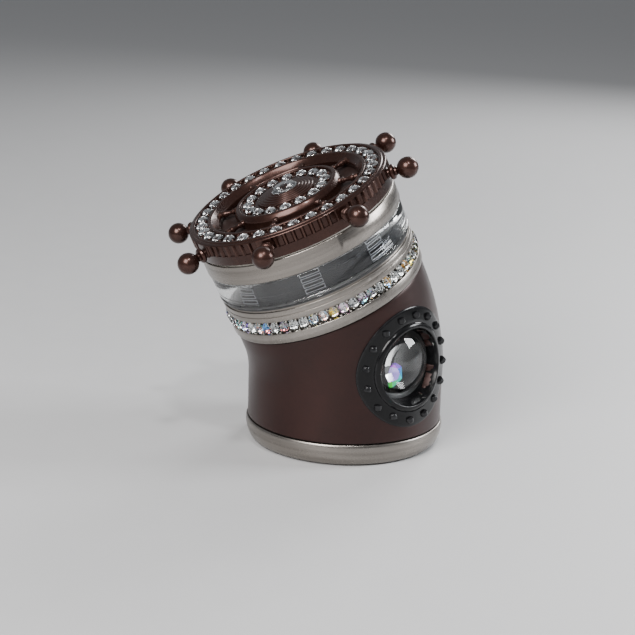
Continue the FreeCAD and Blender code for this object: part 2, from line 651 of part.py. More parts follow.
def make_wheel():
    pitch = math.tau * RIM_RADIUS / FLUTE_COUNT
    root = RIM_RADIUS + RIB_STANDS - FLUTE_DEPTH
    tall = FLUTE_HEIGHT + RIM_SHOULDER
    flute = Part.makeBox(5, pitch - RIB_WIDTH, tall, Vector(root, (RIB_WIDTH - pitch) / 2, FLUTE_FOOT + 0.3))
    flutes = around(flute, FLUTE_COUNT, WHEEL_TURN + 180.0 / FLUTE_COUNT)
    rim = make_rim().cut(flutes)
    handle_bore = along_x(disc(HANDLE_STEM, RIM_RADIUS - HANDLE_BITE, RIM_RADIUS + 3), WHEEL_TOP - HANDLE_DROP)
    seat = along_x(disc(HANDLE_NECK + 0.4, RIM_RADIUS, RIM_RADIUS + 3), WHEEL_TOP - HANDLE_DROP)
    rim = rim.cut(around(handle_bore, SPOKE_COUNT, WHEEL_TURN) + around(seat, SPOKE_COUNT, WHEEL_TURN))
    wheel = rim.fuse([make_hub()] + around(make_spoke(), SPOKE_COUNT, WHEEL_TURN))
    return one_solid(wheel.cut(lid_screws()))


def make_handle():
    """Turned handle along +X: stem in the skirt, bead, neck and ball."""
    bead_radius, bead_width = HANDLE_BEAD
    foot = RIM_RADIUS
    bead = foot + HANDLE_GAP
    neck = bead + bead_width
    centre = neck + HANDLE_GAP + math.sqrt(BALL_RADIUS ** 2 - HANDLE_NECK ** 2)
    outline = [
        (0, foot - HANDLE_BITE), (HANDLE_STEM, foot - HANDLE_BITE), (HANDLE_STEM, foot), (HANDLE_NECK, foot),
        (HANDLE_NECK, bead), (bead_radius, bead), (bead_radius, neck), (HANDLE_NECK, neck),
        (HANDLE_NECK, centre), (0, centre),
    ]
    turned = lathe(outline, {5: bead_width * 0.45, 6: bead_width * 0.45})
    ball = Part.makeSphere(BALL_RADIUS, Vector(0, 0, centre))
    return along_x(one_solid(turned.fuse(ball)), WHEEL_TOP - HANDLE_DROP)


def stone(radius, foot):
    """Flat-backed round crystal standing on its seat."""
    girdle = foot + STONE_HEIGHT * 0.25
    table = foot + STONE_HEIGHT
    return lathe([(0, foot), (radius, foot), (radius, girdle), (radius * 0.55, table), (0, table)])


def stone_circle(count, circle, radius, foot):
    """A circle of flat-backed crystals."""
    first = stone(radius, foot)
    first.translate(Vector(circle, 0, 0))
    return around(first, count, WHEEL_TURN + 180.0 / count)


BOSS_TOP = HUB_FLOOR + BOSS_EDGE + BOSS_RISE


def make_centre_boss():
    outer = HUB_CHANNEL[0]
    seat = CENTRE_STONE + 0.35
    outline = [(0, HUB_FLOOR), (outer, HUB_FLOOR), (outer, HUB_FLOOR + BOSS_EDGE)]
    step, rise = (outer - seat) / BOSS_STEPS, BOSS_RISE / BOSS_STEPS
    for i in range(1, BOSS_STEPS + 1):
        radius, height = outer - step * i, HUB_FLOOR + BOSS_EDGE + rise * i
        outline += [(radius + step * 0.4, height - rise), (radius + step * 0.25, height)]
    outline += [(CENTRE_STONE, BOSS_TOP), (CENTRE_STONE, BOSS_TOP - 0.5), (0, BOSS_TOP - 0.5)]
    return lathe(outline, {2: 0.2})


def make_centre_crystal():
    foot = BOSS_TOP - 0.5
    outline = [
        (0, foot), (CENTRE_STONE, foot), (CENTRE_STONE, BOSS_TOP), (CENTRE_STONE * 0.58, foot + 1.55), (0, foot + 1.55),
    ]
    return lathe(outline)


def main():
    os.makedirs("parts", exist_ok=True)
    case = make_elbow_body()
    save("elbow_body", case)
    save("base_cap", make_base_cap())
    save("foot_pad", make_foot_pad())
    save("base_seal", make_flat_seal(BASE_HEIGHT))

    save("porthole_plate", make_porthole_plate())
    save("porthole_rivets", make_porthole_rivets())
    save("porthole_bezel", make_porthole_bezel(case))
    save("lens_gasket", make_lens_gasket(), PORT_FRAME)
    save("porthole_lens", make_porthole_lens(), PORT_FRAME)
    save("lens_cup", make_lens_cup(), PORT_FRAME)
    save("porthole_gem", make_porthole_gem(), PORT_FRAME)

    save("mouth_seal", make_flat_seal(COLLAR_FOOT), HEAD_FRAME)
    save("crystal_collar", make_crystal_collar(), HEAD_FRAME)
    save("band_crystals", make_band_crystals(), HEAD_FRAME)
    save("lower_ring", make_lower_ring(), HEAD_FRAME)
    save("glass_gasket", make_glass_gasket(), HEAD_FRAME)
    save("glass_ring", make_glass_ring(), HEAD_FRAME)
    save("sifter_sleeve", make_sifter_sleeve(), HEAD_FRAME)
    save("sieve_frame", make_sieve_frame(), HEAD_FRAME)
    save("sieve_mesh", make_sieve_mesh(), HEAD_FRAME)

    save("bowl_gasket", make_bowl_gasket(), HEAD_FRAME)
    save("grind_bowl", make_grind_bowl(), HEAD_FRAME)
    save("bowl_teeth", make_bowl_teeth(), HEAD_FRAME)
    save("bowl_magnet", make_bowl_magnet(), HEAD_FRAME)

    save("glide_ring", make_glide_ring(), HEAD_FRAME)
    save("lid_plate", make_lid_plate(), HEAD_FRAME)
    save("lid_teeth", make_lid_teeth(), HEAD_FRAME)
    save("lid_magnet", make_lid_magnet(), HEAD_FRAME)
    save("lid_screws", lid_screws(), HEAD_FRAME)
    save("wheel", make_wheel(), HEAD_FRAME)
    for number, handle in enumerate(around(make_handle(), SPOKE_COUNT, WHEEL_TURN), 1):
        save("handle_%d" % number, handle, HEAD_FRAME)
    rim_count = SPOKE_COUNT * spread(RIM_CIRCLE, STONE_PITCH * SPOKE_COUNT)
    save("rim_crystals", stone_circle(rim_count, RIM_CIRCLE, RIM_STONE, WHEEL_TOP - CHANNEL_DEPTH), HEAD_FRAME)
    save("hub_crystals", stone_circle(HUB_STONES, HUB_CIRCLE, HUB_STONE, HUB_FLOOR), HEAD_FRAME)
    save("centre_boss", make_centre_boss(), HEAD_FRAME)
    save("centre_crystal", make_centre_crystal(), HEAD_FRAME)


main()
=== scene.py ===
"""Looks of the leaning hand grinder: finishes, turned pieces, crystals, porthole, floor, light and camera.

Every piece is drawn in millimetres in a frame of its own, the upright axis of the base, the leaning axis
of the head or the axis of the porthole, and is then placed in the shared frame in metres.
"""
import json
import logging
import math
import random
from dataclasses import dataclass
from enum import Enum
from typing import Callable, Iterable, Sequence

import bmesh
import bpy
from mathutils import Color, Matrix, Vector
from mathutils.bvhtree import BVHTree


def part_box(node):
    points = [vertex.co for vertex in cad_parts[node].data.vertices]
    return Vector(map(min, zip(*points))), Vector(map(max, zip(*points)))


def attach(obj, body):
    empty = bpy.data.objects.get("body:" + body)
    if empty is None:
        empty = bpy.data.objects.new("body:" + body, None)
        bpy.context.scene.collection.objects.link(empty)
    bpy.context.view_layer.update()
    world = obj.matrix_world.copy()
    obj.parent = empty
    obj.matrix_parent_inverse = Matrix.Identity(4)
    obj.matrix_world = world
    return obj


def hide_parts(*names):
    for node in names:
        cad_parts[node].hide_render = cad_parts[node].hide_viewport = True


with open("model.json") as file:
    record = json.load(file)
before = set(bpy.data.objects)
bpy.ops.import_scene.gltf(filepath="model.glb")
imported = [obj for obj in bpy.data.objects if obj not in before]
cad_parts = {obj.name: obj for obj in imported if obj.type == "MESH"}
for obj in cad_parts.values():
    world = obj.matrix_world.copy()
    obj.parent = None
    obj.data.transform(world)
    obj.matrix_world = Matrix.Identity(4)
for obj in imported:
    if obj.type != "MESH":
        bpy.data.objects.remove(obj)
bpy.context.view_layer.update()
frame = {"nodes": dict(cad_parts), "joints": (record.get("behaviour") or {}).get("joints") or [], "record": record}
LOG = logging.getLogger("hand_grinder")

MM = 0.001
SMOOTH_ANGLE = math.radians(32)
STEPS = 160               # facets round a turned piece
FACET_TINT = "facet_tint"  # colour attribute of the crystals that have facets of several colours
SPIGOT_RADIUS = 22.2      # of the collar's and the base cap's spigots
Point = tuple[float, float]
Place = tuple[float, float, float]
Colour = tuple[float, float, float]
Mesh = bmesh.types.BMesh
Edge = bmesh.types.BMEdge
Node = bpy.types.Node
Socket = bpy.types.NodeSocket
Tree = bpy.types.NodeTree


class Body(Enum):
    """Bodies that the pieces ride on."""

    BASE = "base"
    BASE_THREAD = "base_thread"
    CASE = "case"
    HEAD_THREAD = "head_thread"
    HEAD = "head"
    SIEVE = "sieve"
    BOWL_THREAD = "bowl_thread"
    BOWL = "bowl"
    LID_GLIDE = "lid_glide"
    LID = "lid"


class Axis(Enum):
    """Axes that the pieces are turned about."""

    UPRIGHT = "upright"
    HEAD = "head"
    PORT = "port"


# ---------------------------------------------------------------- shader graphs
class Graph:
    """Adds nodes to one shader tree and joins their sockets."""

    def __init__(self, tree: Tree) -> None:
        """Keeps the shader tree that the nodes go into."""
        self.tree = tree

    def feed(self, node: Node, inputs: dict) -> None:
        """Sets or links inputs of a node.

        Args:
            node: The node.
            inputs: Socket name or number to a value, or to the output socket that feeds it.
        """
        for key, value in inputs.items():
            if isinstance(value, Socket):
                self.tree.links.new(value, node.inputs[key])
            else:
                node.inputs[key].default_value = value

    def add(self, kind: str, inputs: dict | None = None, **settings: object) -> Node:
        """Adds one node.

        Args:
            kind: The node's type, without the leading ShaderNode.
            inputs: What feeds its sockets, as in feed().
            settings: Properties of the node.

        Returns:
            The new node.
        """
        node = self.tree.nodes.new(kind if kind.startswith("Node") else "ShaderNode" + kind)
        for name, value in settings.items():
            setattr(node, name, value)
        self.feed(node, inputs or {})
        return node

    def group(self, tree: Tree, **inputs: object) -> Node:
        """Adds a group node with some of its named inputs set or linked."""
        return self.add("Group", inputs, node_tree=tree)

    def math(self, operation: str, *values: object) -> Socket:
        """Adds a Math node with its inputs in order and returns its output."""
        return self.add("Math", dict(enumerate(values)), operation=operation).outputs[0]

    def noise(self, vector: Socket, scale: object, detail: float, **more: float) -> Socket:
        """Adds a noise texture and returns its value; more holds its other inputs by name."""
        return self.add("TexNoise", {"Vector": vector, "Scale": scale, "Detail": detail, **more}).outputs[0]

    def span(self, value: object, low: float, high: float, to_low: float, to_high: float) -> Socket:
        """Maps a value from low..high to to_low..to_high, clamped, and returns the result."""
        inputs = {"Value": value, "From Min": low, "From Max": high, "To Min": to_low, "To Max": to_high}
        return self.add("MapRange", inputs).outputs["Result"]

    def mix(self, factor: object, first: object, second: object) -> Socket:
        """Mixes two colours, each a socket or three numbers, and returns the result."""
        both = (c if isinstance(c, Socket) else (*c, 1.0) for c in (first, second))
        return self.add("Mix", dict(zip((0, 6, 7), (factor, *both))), data_type="RGBA").outputs[2]


class Effects:
    """Shader node groups shared by the finishes, each made once."""

    _made: dict[str, Tree] = {}

    @classmethod
    def _group(cls, name: str, inputs: dict[str, object], outputs: Sequence[str],
               fill: Callable[[Graph, Node, Node], None]) -> Tree:
        """Makes a group with named sockets, or returns the one already made.

        Args:
            name: The group's name.
            inputs: Input names and their defaults; a None default makes a vector socket.
            outputs: Names of the value outputs.
            fill: Draws the group's nodes between its input and output nodes.

        Returns:
            The node group.
        """
        if name in cls._made:
            return cls._made[name]
        tree = bpy.data.node_groups.new(name, "ShaderNodeTree")
        for key, default in inputs.items():
            kind = "NodeSocketVector" if default is None else "NodeSocketFloat"
            socket = tree.interface.new_socket(key, in_out="INPUT", socket_type=kind)
            if default is not None:
                socket.default_value = default
        for key in outputs:
            tree.interface.new_socket(key, in_out="OUTPUT", socket_type="NodeSocketFloat")
        graph = Graph(tree)
        fill(graph, graph.add("NodeGroupInput"), graph.add("NodeGroupOutput"))
        cls._made[name] = tree
        return tree

    @classmethod
    def streaks(cls) -> Tree:
        """Makes the fine turning marks that run round an axis: a height and a slow tone.

        Returns:
            The node group.
        """
        def fill(graph: Graph, source: Node, result: Node) -> None:
            """Draws two stretched noises.

            Args:
                graph: The group's graph.
                source: Its input node.
                result: Its output node.
            """
            given = source.outputs
            along, across = given["Along"], given["Across"]
            scale = graph.add("CombineXYZ", {0: along, 1: along, 2: across}).outputs[0]
            fine = graph.add("VectorMath", {0: given["Vector"], 1: scale}, operation="MULTIPLY").outputs[0]
            slow = graph.add("VectorMath", {0: fine, 1: (0.5, 0.5, 0.09)}, operation="MULTIPLY").outputs[0]
            graph.feed(result, {"Height": graph.noise(fine, 1.0, 3.0, Roughness=0.65),
                                "Tone": graph.noise(slow, 1.0, 2.0)})
        return cls._group("turning_marks", {"Vector": None, "Along": 40.0, "Across": 9000.0},
                          ("Height", "Tone"), fill)

    @classmethod
    def wear(cls) -> Tree:
        """Makes rubbed edges, broken up by a noise: a mask.

        Returns:
            The node group.
        """
        def fill(graph: Graph, source: Node, result: Node) -> None:
            """Draws the edge mask and its breaking noise.

            Args:
                graph: The group's graph.
                source: Its input node.
                result: Its output node.
            """
            given = source.outputs
            edge = graph.span(graph.add("NewGeometry").outputs["Pointiness"], 0.51, 0.60, 0.0, 1.0)
            noise = graph.noise(given["Vector"], given["Scale"], 5.0, Roughness=0.7)
            broken = graph.math("MULTIPLY", edge, graph.span(noise, 0.36, 0.60, 0.25, 1.0))
            graph.feed(result, {"Mask": graph.math("MULTIPLY", broken, given["Amount"])})
        return cls._group("edge_wear", {"Vector": None, "Scale": 900.0, "Amount": 1.0}, ("Mask",), fill)

    @classmethod
    def handling(cls) -> Tree:
        """Makes soft finger marks and cloudiness: a roughness between Low and High, and a cloud.

        Returns:
            The node group.
        """
        def fill(graph: Graph, source: Node, result: Node) -> None:
            """Draws two noises of different sizes.

            Args:
                graph: The group's graph.
                source: Its input node.
                result: Its output node.
            """
            given = source.outputs
            large = graph.noise(given["Vector"], given["Scale"], 4.0, Distortion=0.6)
            fine = graph.noise(given["Vector"], graph.math("MULTIPLY", given["Scale"], 14.0), 3.0)
            both = graph.math("ADD", graph.math("MULTIPLY", large, 0.7), graph.math("MULTIPLY", fine, 0.3))
            unit = graph.span(both, 0.34, 0.66, 0.0, 1.0)
            width = graph.math("SUBTRACT", given["High"], given["Low"])
            rough = graph.math("MULTIPLY_ADD", unit, width, given["Low"])
            graph.feed(result, {"Roughness": rough, "Cloud": unit})
        return cls._group("handling_marks", {"Vector": None, "Scale": 90.0, "Low": 0.25, "High": 0.4},
                          ("Roughness", "Cloud"), fill)

    @classmethod
    def flake(cls) -> Tree:
        """Makes metallic flake and fine orange peel: a sparkle value and a height.

        Returns:
            The node group.
        """
        def fill(graph: Graph, source: Node, result: Node) -> None:
            """Draws cells for the flake and a noise for the peel.

            Args:
                graph: The group's graph.
                source: Its input node.
                result: Its output node.
            """
            given = source.outputs
            cells = graph.add("TexVoronoi", {"Vector": given["Vector"], "Scale": given["Scale"]})
            sparkle = graph.add("SeparateColor", {0: cells.outputs["Color"]}).outputs[0]
            peel = graph.noise(given["Vector"], graph.math("MULTIPLY", given["Scale"], 0.3), 2.0)
            graph.feed(result, {"Sparkle": sparkle, "Peel": peel})
        return cls._group("metal_flake", {"Vector": None, "Scale": 9000.0}, ("Sparkle", "Peel"), fill)


class Finish:
    """Base of all finishes: makes its material once and hands it out."""

    _cache: dict[object, bpy.types.Material] = {}
    name: str

    def material(self) -> bpy.types.Material:
        """Makes the finish's material on first use.

        Returns:
            The material.
        """
        if self not in self._cache:
            made = bpy.data.materials.new(self.name)
            made.use_nodes = True
            made.node_tree.nodes.clear()
            graph = Graph(made.node_tree)
            shader = graph.add("BsdfPrincipled")
            self.draw(graph, shader)
            graph.add("OutputMaterial", {"Surface": self.surface(graph, shader)})
            self._cache[self] = made
        return self._cache[self]

    def draw(self, graph: Graph, shader: Node) -> None:
        """Draws the material's nodes; each finish has its own.

        Args:
            graph: The material's graph.
            shader: Its Principled BSDF.
        """
        raise NotImplementedError

    def surface(self, graph: Graph, shader: Node) -> Socket:
        """Returns what goes to the output: the Principled BSDF, unless a finish mixes something with it."""
        return shader.outputs[0]

    @staticmethod
    def coordinates(graph: Graph, lean: float = 0.0) -> Socket:
        """Returns object coordinates, turned by lean in radians so that Z runs along a leaning axis."""
        source = graph.add("TexCoord").outputs["Object"]
        return graph.add("Mapping", {"Vector": source, "Rotation": (0.0, lean, 0.0)}).outputs[0]

    @staticmethod
    def touch(graph: Graph, where: Socket, rough: Point) -> tuple[Socket, Socket]:
        """Adds handling marks between two roughnesses and returns their roughness and cloud."""
        node = graph.group(Effects.handling(), Vector=where, Low=rough[0], High=rough[1])
        return node.outputs["Roughness"], node.outputs["Cloud"]

    @staticmethod
    def bump(graph: Graph, height: Socket, distance: float) -> Socket:
        """Returns a normal bumped by a height, with a relief of a distance in metres."""
        return graph.add("Bump", {"Height": height, "Distance": distance, "Strength": 1.0}).outputs["Normal"]

    @staticmethod
    def facets(graph: Graph) -> Socket:
        """Returns the colours that the facets carry themselves."""
        return graph.add("Attribute", attribute_name=FACET_TINT).outputs["Color"]


@dataclass(frozen=True)
class TurnedMetal(Finish):
    """Bare metal with turning marks round its axis and bright rubbed edges."""

    name: str
    colour: Colour
    rough: Point = (0.24, 0.36)
    across: float = 9000.0
    relief: float = 0.000004
    edge: Colour = (0.86, 0.84, 0.81)
    lean: float = 0.0
    wear: float = 0.5

    def draw(self, graph: Graph, shader: Node) -> None:
        """Draws marks, tone, rubbed edges and finger marks.

        Args:
            graph: The material's graph.
            shader: Its Principled BSDF.
        """
        where = self.coordinates(graph, self.lean)
        marks = graph.group(Effects.streaks(), Vector=where, Across=self.across).outputs
        rough, _ = self.touch(graph, where, self.rough)
        wear = graph.group(Effects.wear(), Vector=where, Amount=self.wear).outputs["Mask"]
        dark = tuple(c * 0.72 for c in self.colour)
        tone = graph.mix(graph.span(marks["Tone"], 0.35, 0.65, 0.0, 1.0), dark, self.colour)
        line = graph.span(marks["Height"], 0.3, 0.7, -0.05, 0.05)
        graph.feed(shader, {"Base Color": graph.mix(wear, tone, self.edge), "Metallic": 1.0,
                            "Roughness": graph.math("ADD", rough, line),
                            "Normal": self.bump(graph, marks["Height"], self.relief)})


@dataclass(frozen=True)
class Enamel(Finish):
    """Metallic enamel or lacquer, with a light worn tone on its edges and faint flake."""

    name: str
    colour: Colour
    worn: Colour
    metallic: float = 0.6
    rough: Point = (0.28, 0.40)
    coat: float = 0.15
    wear: float = 0.8
    sparkle: float = 0.18
    specular: float = 0.5
    peel: float = 0.000003

    def draw(self, graph: Graph, shader: Node) -> None:
        """Draws the lacquer's flake, clouding, wear and peel.

        Args:
            graph: The material's graph.
            shader: Its Principled BSDF.
        """
        where = self.coordinates(graph)
        flake = graph.group(Effects.flake(), Vector=where).outputs
        rough, cloud = self.touch(graph, where, self.rough)
        wear = graph.group(Effects.wear(), Vector=where, Amount=self.wear).outputs["Mask"]
        dark, light = (tuple(c * k for c in self.colour) for k in (0.78, 1.25))
        flaked = graph.mix(graph.math("MULTIPLY", flake["Sparkle"], self.sparkle),
                           graph.mix(cloud, dark, light), self.worn)
        graph.feed(shader, {"Base Color": graph.mix(wear, flaked, self.worn), "Metallic": self.metallic,
                            "Specular IOR Level": self.specular, "Coat Weight": self.coat,
                            "Coat Roughness": 0.12, "Roughness": rough,
                            "Normal": self.bump(graph, flake["Peel"], self.peel)})


@dataclass(frozen=True)
class ClearGlass(Finish):
    """Clear polished glass or crystal, with faint wiping marks."""

    name: str
    tint: Colour = (0.985, 0.995, 0.99)
    rough: Point = (0.0, 0.008)
    ior: float = 1.5
    by_facet: bool = False

    def draw(self, graph: Graph, shader: Node) -> None:
        """Draws the glass; with by_facet its tint comes from the facets' own colours.

        Args:
            graph: The material's graph.
            shader: Its Principled BSDF.
        """
        rough, cloud = self.touch(graph, self.coordinates(graph), self.rough)
        faint = tuple(c * 0.97 for c in self.tint)
        tint = self.facets(graph) if self.by_facet else graph.mix(cloud, faint, self.tint)
        graph.feed(shader, {"Base Color": tint, "Roughness": rough, "IOR": self.ior,
                            "Transmission Weight": 1.0})

    def surface(self, graph: Graph, shader: Node) -> Socket:
        """Lets most of the light through the glass to what stands behind it.

        Args:
            graph: The material's graph.
            shader: Its Principled BSDF.

        Returns:
            The glass, or on shadow rays a clear surface.
        """
        shadow = graph.add("LightPath").outputs["Is Shadow Ray"]
        clear = graph.add("BsdfTransparent", {"Color": (0.86, 0.88, 0.88, 1.0)})
        return graph.add("MixShader", {0: shadow, 1: shader.outputs[0], 2: clear.outputs[0]}).outputs[0]


@dataclass(frozen=True)
class Foil(Finish):
    """Silvered back of a crystal; its colour follows the facets where by_facet is set."""

    name: str
    colour: Colour = (0.93, 0.94, 0.95)
    by_facet: bool = False
    metallic: float = 1.0

    def draw(self, graph: Graph, shader: Node) -> None:
        """Draws the mirror coat with slight clouding.

        Args:
            graph: The material's graph.
            shader: Its Principled BSDF.
        """
        rough, cloud = self.touch(graph, self.coordinates(graph), (0.04, 0.12))
        dim = tuple(c * 0.8 for c in self.colour)
        colour = self.facets(graph) if self.by_facet else graph.mix(cloud, dim, self.colour)
        graph.feed(shader, {"Base Color": colour, "Metallic": self.metallic, "Roughness": rough})


@dataclass(frozen=True)
class Matt(Finish):
    """Rubber, nylon or a painted floor: matt, with fine grain and slight clouding."""

    name: str
    colour: Colour
    rough: Point = (0.6, 0.8)
    grain: float = 2500.0
    relief: float = 0.00002
    cloud: float = 1.5

    def draw(self, graph: Graph, shader: Node) -> None:
        """Draws the grain and the clouding.

        Args:
            graph: The material's graph.
            shader: Its Principled BSDF.
        """
        where = self.coordinates(graph)
        rough, cloud = self.touch(graph, where, self.rough)
        light = tuple(min(1.0, c * self.cloud) for c in self.colour)
        graph.feed(shader, {"Base Color": graph.mix(cloud, self.colour, light), "Roughness": rough,
                            "Normal": self.bump(graph, graph.noise(where, self.grain, 4.0), self.relief)})


LEAN_JOINT = next(j for j in frame["joints"] if j["name"] == "lid_spin")
HEAD_AXIS = Vector(LEAN_JOINT["axis"]).normalized()
LEAN = math.atan2(-HEAD_AXIS.x, HEAD_AXIS.z)

NICKEL = TurnedMetal("brushed_nickel", (0.29, 0.265, 0.24), edge=(0.72, 0.70, 0.66))
HEAD_NICKEL = TurnedMetal("brushed_nickel_head", (0.29, 0.265, 0.24), edge=(0.72, 0.70, 0.66), lean=LEAN)
BOWL_NICKEL = TurnedMetal("brushed_nickel_bowl", (0.29, 0.265, 0.24), lean=LEAN, wear=0.0)
ALLOY = TurnedMetal("turned_alloy", (0.50, 0.49, 0.48), rough=(0.22, 0.34), across=3500.0, lean=LEAN,
                    wear=0.0)
DARK_ALLOY = TurnedMetal("dark_anodised", (0.012, 0.013, 0.017), edge=(0.20, 0.21, 0.25), rough=(0.26, 0.36),
                         across=2500.0, lean=LEAN, wear=0.0)
# light steel lips on the dark sleeve's slots: a painted highlight for the glints along the slot edges
SLOT_HIGHLIGHT_STEEL = TurnedMetal("slot_painted_highlight", (0.44, 0.45, 0.49), rough=(0.3, 0.42), across=2500.0, lean=LEAN,
                         wear=0.0)
MAGNET = TurnedMetal("plated_magnet", (0.62, 0.62, 0.61), rough=(0.08, 0.2), across=2000.0, lean=LEAN,
                     wear=0.0)
WHEEL_BROWN = Enamel("wheel_bronze", (0.031, 0.0118, 0.0086), (0.24, 0.125, 0.095), metallic=0.72,
                     rough=(0.20, 0.32), wear=0.28, sparkle=0.08)
BOSS_BROWN = Enamel("boss_bronze", (0.034, 0.0135, 0.010), (0.20, 0.10, 0.075), metallic=0.72,
                    rough=(0.24, 0.36), wear=0.08, sparkle=0.06)
WELL_BROWN = Enamel("window_floor", (0.016, 0.008, 0.007), (0.10, 0.06, 0.05), rough=(0.45, 0.6), wear=0.3)
MAHOGANY = Enamel("mahogany_satin", (0.020, 0.0050, 0.0036), (0.07, 0.028, 0.022), metallic=0.45,
                  rough=(0.34, 0.42), coat=0.06, wear=0.2, sparkle=0.07)
GLOSS_BLACK = Enamel("gloss_black", (0.0035, 0.0035, 0.004), (0.07, 0.07, 0.075), metallic=0.05,
                     rough=(0.14, 0.24), coat=0.04, wear=0.35, sparkle=0.0, specular=0.25)
CUP_BLACK = Enamel("cup_black", (0.006, 0.0055, 0.006), (0.03, 0.03, 0.03), metallic=0.2, rough=(0.35, 0.5),
                   coat=0.0, wear=0.1, sparkle=0.0)
GLASS = ClearGlass("clear_glass")
CRYSTAL = ClearGlass("clear_crystal", tint=(0.99, 0.995, 1.0), rough=(0.0, 0.015), ior=1.58)
AURORA = ClearGlass("aurora_crystal", rough=(0.0, 0.02), ior=1.58, by_facet=True)
FOIL = Foil("crystal_foil")
AURORA_FOIL = Foil("aurora_foil", by_facet=True)
SPECTRUM = Foil("dichroic_facets", by_facet=True, metallic=0.2)
RUBBER = Matt("seal_rubber", (0.018, 0.018, 0.019))
NYLON = Matt("glide_nylon", (0.66, 0.64, 0.58), rough=(0.4, 0.55), grain=900.0)
PALE_FLOOR = Matt("pale_floor", (0.50, 0.50, 0.505), rough=(0.5, 0.55), grain=900.0, relief=0.000004,
                  cloud=1.02)


# ---------------------------------------------------------------- mesh tools
@dataclass(frozen=True)
class Span:
    """What a part occupies about an axis, in millimetres."""

    low: float
    high: float
    inner: float
    outer: float


class Bench:
    """Frames of the three axes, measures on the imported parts, and the placing of finished meshes."""

    def __init__(self) -> None:
        """Works out the frames from the joints and from the porthole's own parts."""
        cross = Vector(LEAN_JOINT["pos_m"])
        across = Vector((0, 1, 0)).cross(HEAD_AXIS).normalized()
        head = Matrix((across, HEAD_AXIS.cross(across), HEAD_AXIS)).transposed().to_4x4()
        lens, cup = self.centre("porthole_lens"), self.centre("lens_cup")
        out = (lens - cup).normalized()
        right = Vector((0, 0, 1)).cross(out).normalized()
        port = Matrix((right, out.cross(right), out)).transposed().to_4x4()
        foot = lens - out * lens.xy.length / out.xy.length
        scale = Matrix.Scale(MM, 4)
        self.frames = {
            Axis.UPRIGHT: scale,
            Axis.HEAD: Matrix.Translation(cross) @ head @ scale,
            Axis.PORT: Matrix.Translation(foot) @ port @ scale,
        }

    @staticmethod
    def centre(node: str) -> Vector:
        """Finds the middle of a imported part's surface.

        Args:
            node: The part's name.

        Returns:
            The area-weighted centre in metres.
        """
        faces = frame["nodes"][node].data.polygons
        total = sum(f.area for f in faces)
        return sum((f.center * f.area for f in faces), Vector()) / total

    def span(self, node: str, axis: Axis) -> Span:
        """Measures a part about one axis.

        Args:
            node: The part's name.
            axis: The axis to measure about.

        Returns:
            Its lowest and highest stations and its inner and outer radii.
        """
        back = self.frames[axis].inverted()
        points = [back @ v.co for v in frame["nodes"][node].data.vertices]
        radii = [p.xy.length for p in points]
        heights = [p.z for p in points]
        return Span(min(heights), max(heights), min(radii), max(radii))

    def finish(self, name: str, shape: Mesh, axis: Axis, finishes: Sequence[Finish], body: Body,
               slot: str, nodes: Iterable[str] = (), smooth: float = SMOOTH_ANGLE) -> None:
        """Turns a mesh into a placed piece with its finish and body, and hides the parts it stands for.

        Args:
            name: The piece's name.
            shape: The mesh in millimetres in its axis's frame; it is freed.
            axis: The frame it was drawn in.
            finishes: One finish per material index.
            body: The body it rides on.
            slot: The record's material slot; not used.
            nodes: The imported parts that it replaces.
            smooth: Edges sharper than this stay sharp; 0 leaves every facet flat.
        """
        shape.transform(self.frames[axis])
        mesh = bpy.data.meshes.new(name)
        shape.to_mesh(mesh)
        shape.free()
        if smooth:
            mesh.shade_smooth()
            mesh.set_sharp_from_angle(angle=smooth)
        for finish in finishes:
            mesh.materials.append(finish.material())
        piece = bpy.data.objects.new(name, mesh)
        bpy.context.scene.collection.objects.link(piece)
        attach(piece, body.value)
        if nodes:
            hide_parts(*nodes)
        LOG.info("%s: %d faces", name, len(mesh.polygons))


def spin_round(shape: Mesh, steps: int) -> None:
    """Spins all that a mesh holds about Z and welds the seam."""
    bmesh.ops.spin(shape, geom=shape.verts[:] + shape.edges[:], cent=(0, 0, 0), axis=(0, 0, 1),
                   angle=math.tau, steps=steps, use_merge=True, use_duplicate=False)
    bmesh.ops.remove_doubles(shape, verts=shape.verts[:], dist=1e-5)


def bevel(shape: Mesh, edges: Iterable[Edge], width: float, segments: int) -> None:
    """Rounds some of a mesh's edges over a width, in a number of segments."""
    bmesh.ops.bevel(shape, geom=list(edges), offset=width, offset_type="OFFSET", affect="EDGES",
                    segments=segments, profile=0.5, material=-1, clamp_overlap=True)


def thicken(shape: Mesh, thickness: float, rounding: float) -> None:
    """Gives a sheet its thickness, against its normals, and bevels its rims.

    Args:
        shape: The sheet.
        thickness: How thick it becomes.
        rounding: Width of the bevel along its rims.
    """
    bmesh.ops.solidify(shape, geom=shape.faces[:], thickness=thickness)
    sharp = [e for e in shape.edges if len(e.link_faces) == 2 and e.calc_face_angle(0) > 1.0]
    bevel(shape, sharp, rounding, 2)


def spun(profile: Sequence[Point], rounds: dict[int, float] | None = None, steps: int = STEPS,
         segments: int = 3) -> Mesh:
    """Spins a closed profile of (radius, height) about Z and rounds the corners named in rounds.

    Args:
        profile: Corners in order; those on the axis become poles.
        rounds: Corner number to the width of its rounding.
        steps: Facets round the axis.
        segments: Segments of each rounding.

    Returns:
        The closed mesh.
    """
    shape = bmesh.new()
    corner = shape.verts.layers.int.new("corner")
    verts = []
    for number, (radius, height) in enumerate(profile):
        vert = shape.verts.new((radius, 0.0, height))
        vert[corner] = number + 1
        verts.append(vert)
    on_axis = [radius < 1e-9 for radius, _ in profile]
    for i, vert in enumerate(verts):
        following = (i + 1) % len(verts)
        if not (on_axis[i] and on_axis[following]):
            shape.edges.new((vert, verts[following]))
    spin_round(shape, steps)
    bmesh.ops.dissolve_degenerate(shape, edges=shape.edges[:], dist=1e-6)
    bmesh.ops.recalc_face_normals(shape, faces=shape.faces[:])
    for number, width in (rounds or {}).items():
        ring = [e for e in shape.edges if all(v[corner] == number + 1 for v in e.verts)]
        bevel(shape, ring, width, segments)
    return shape


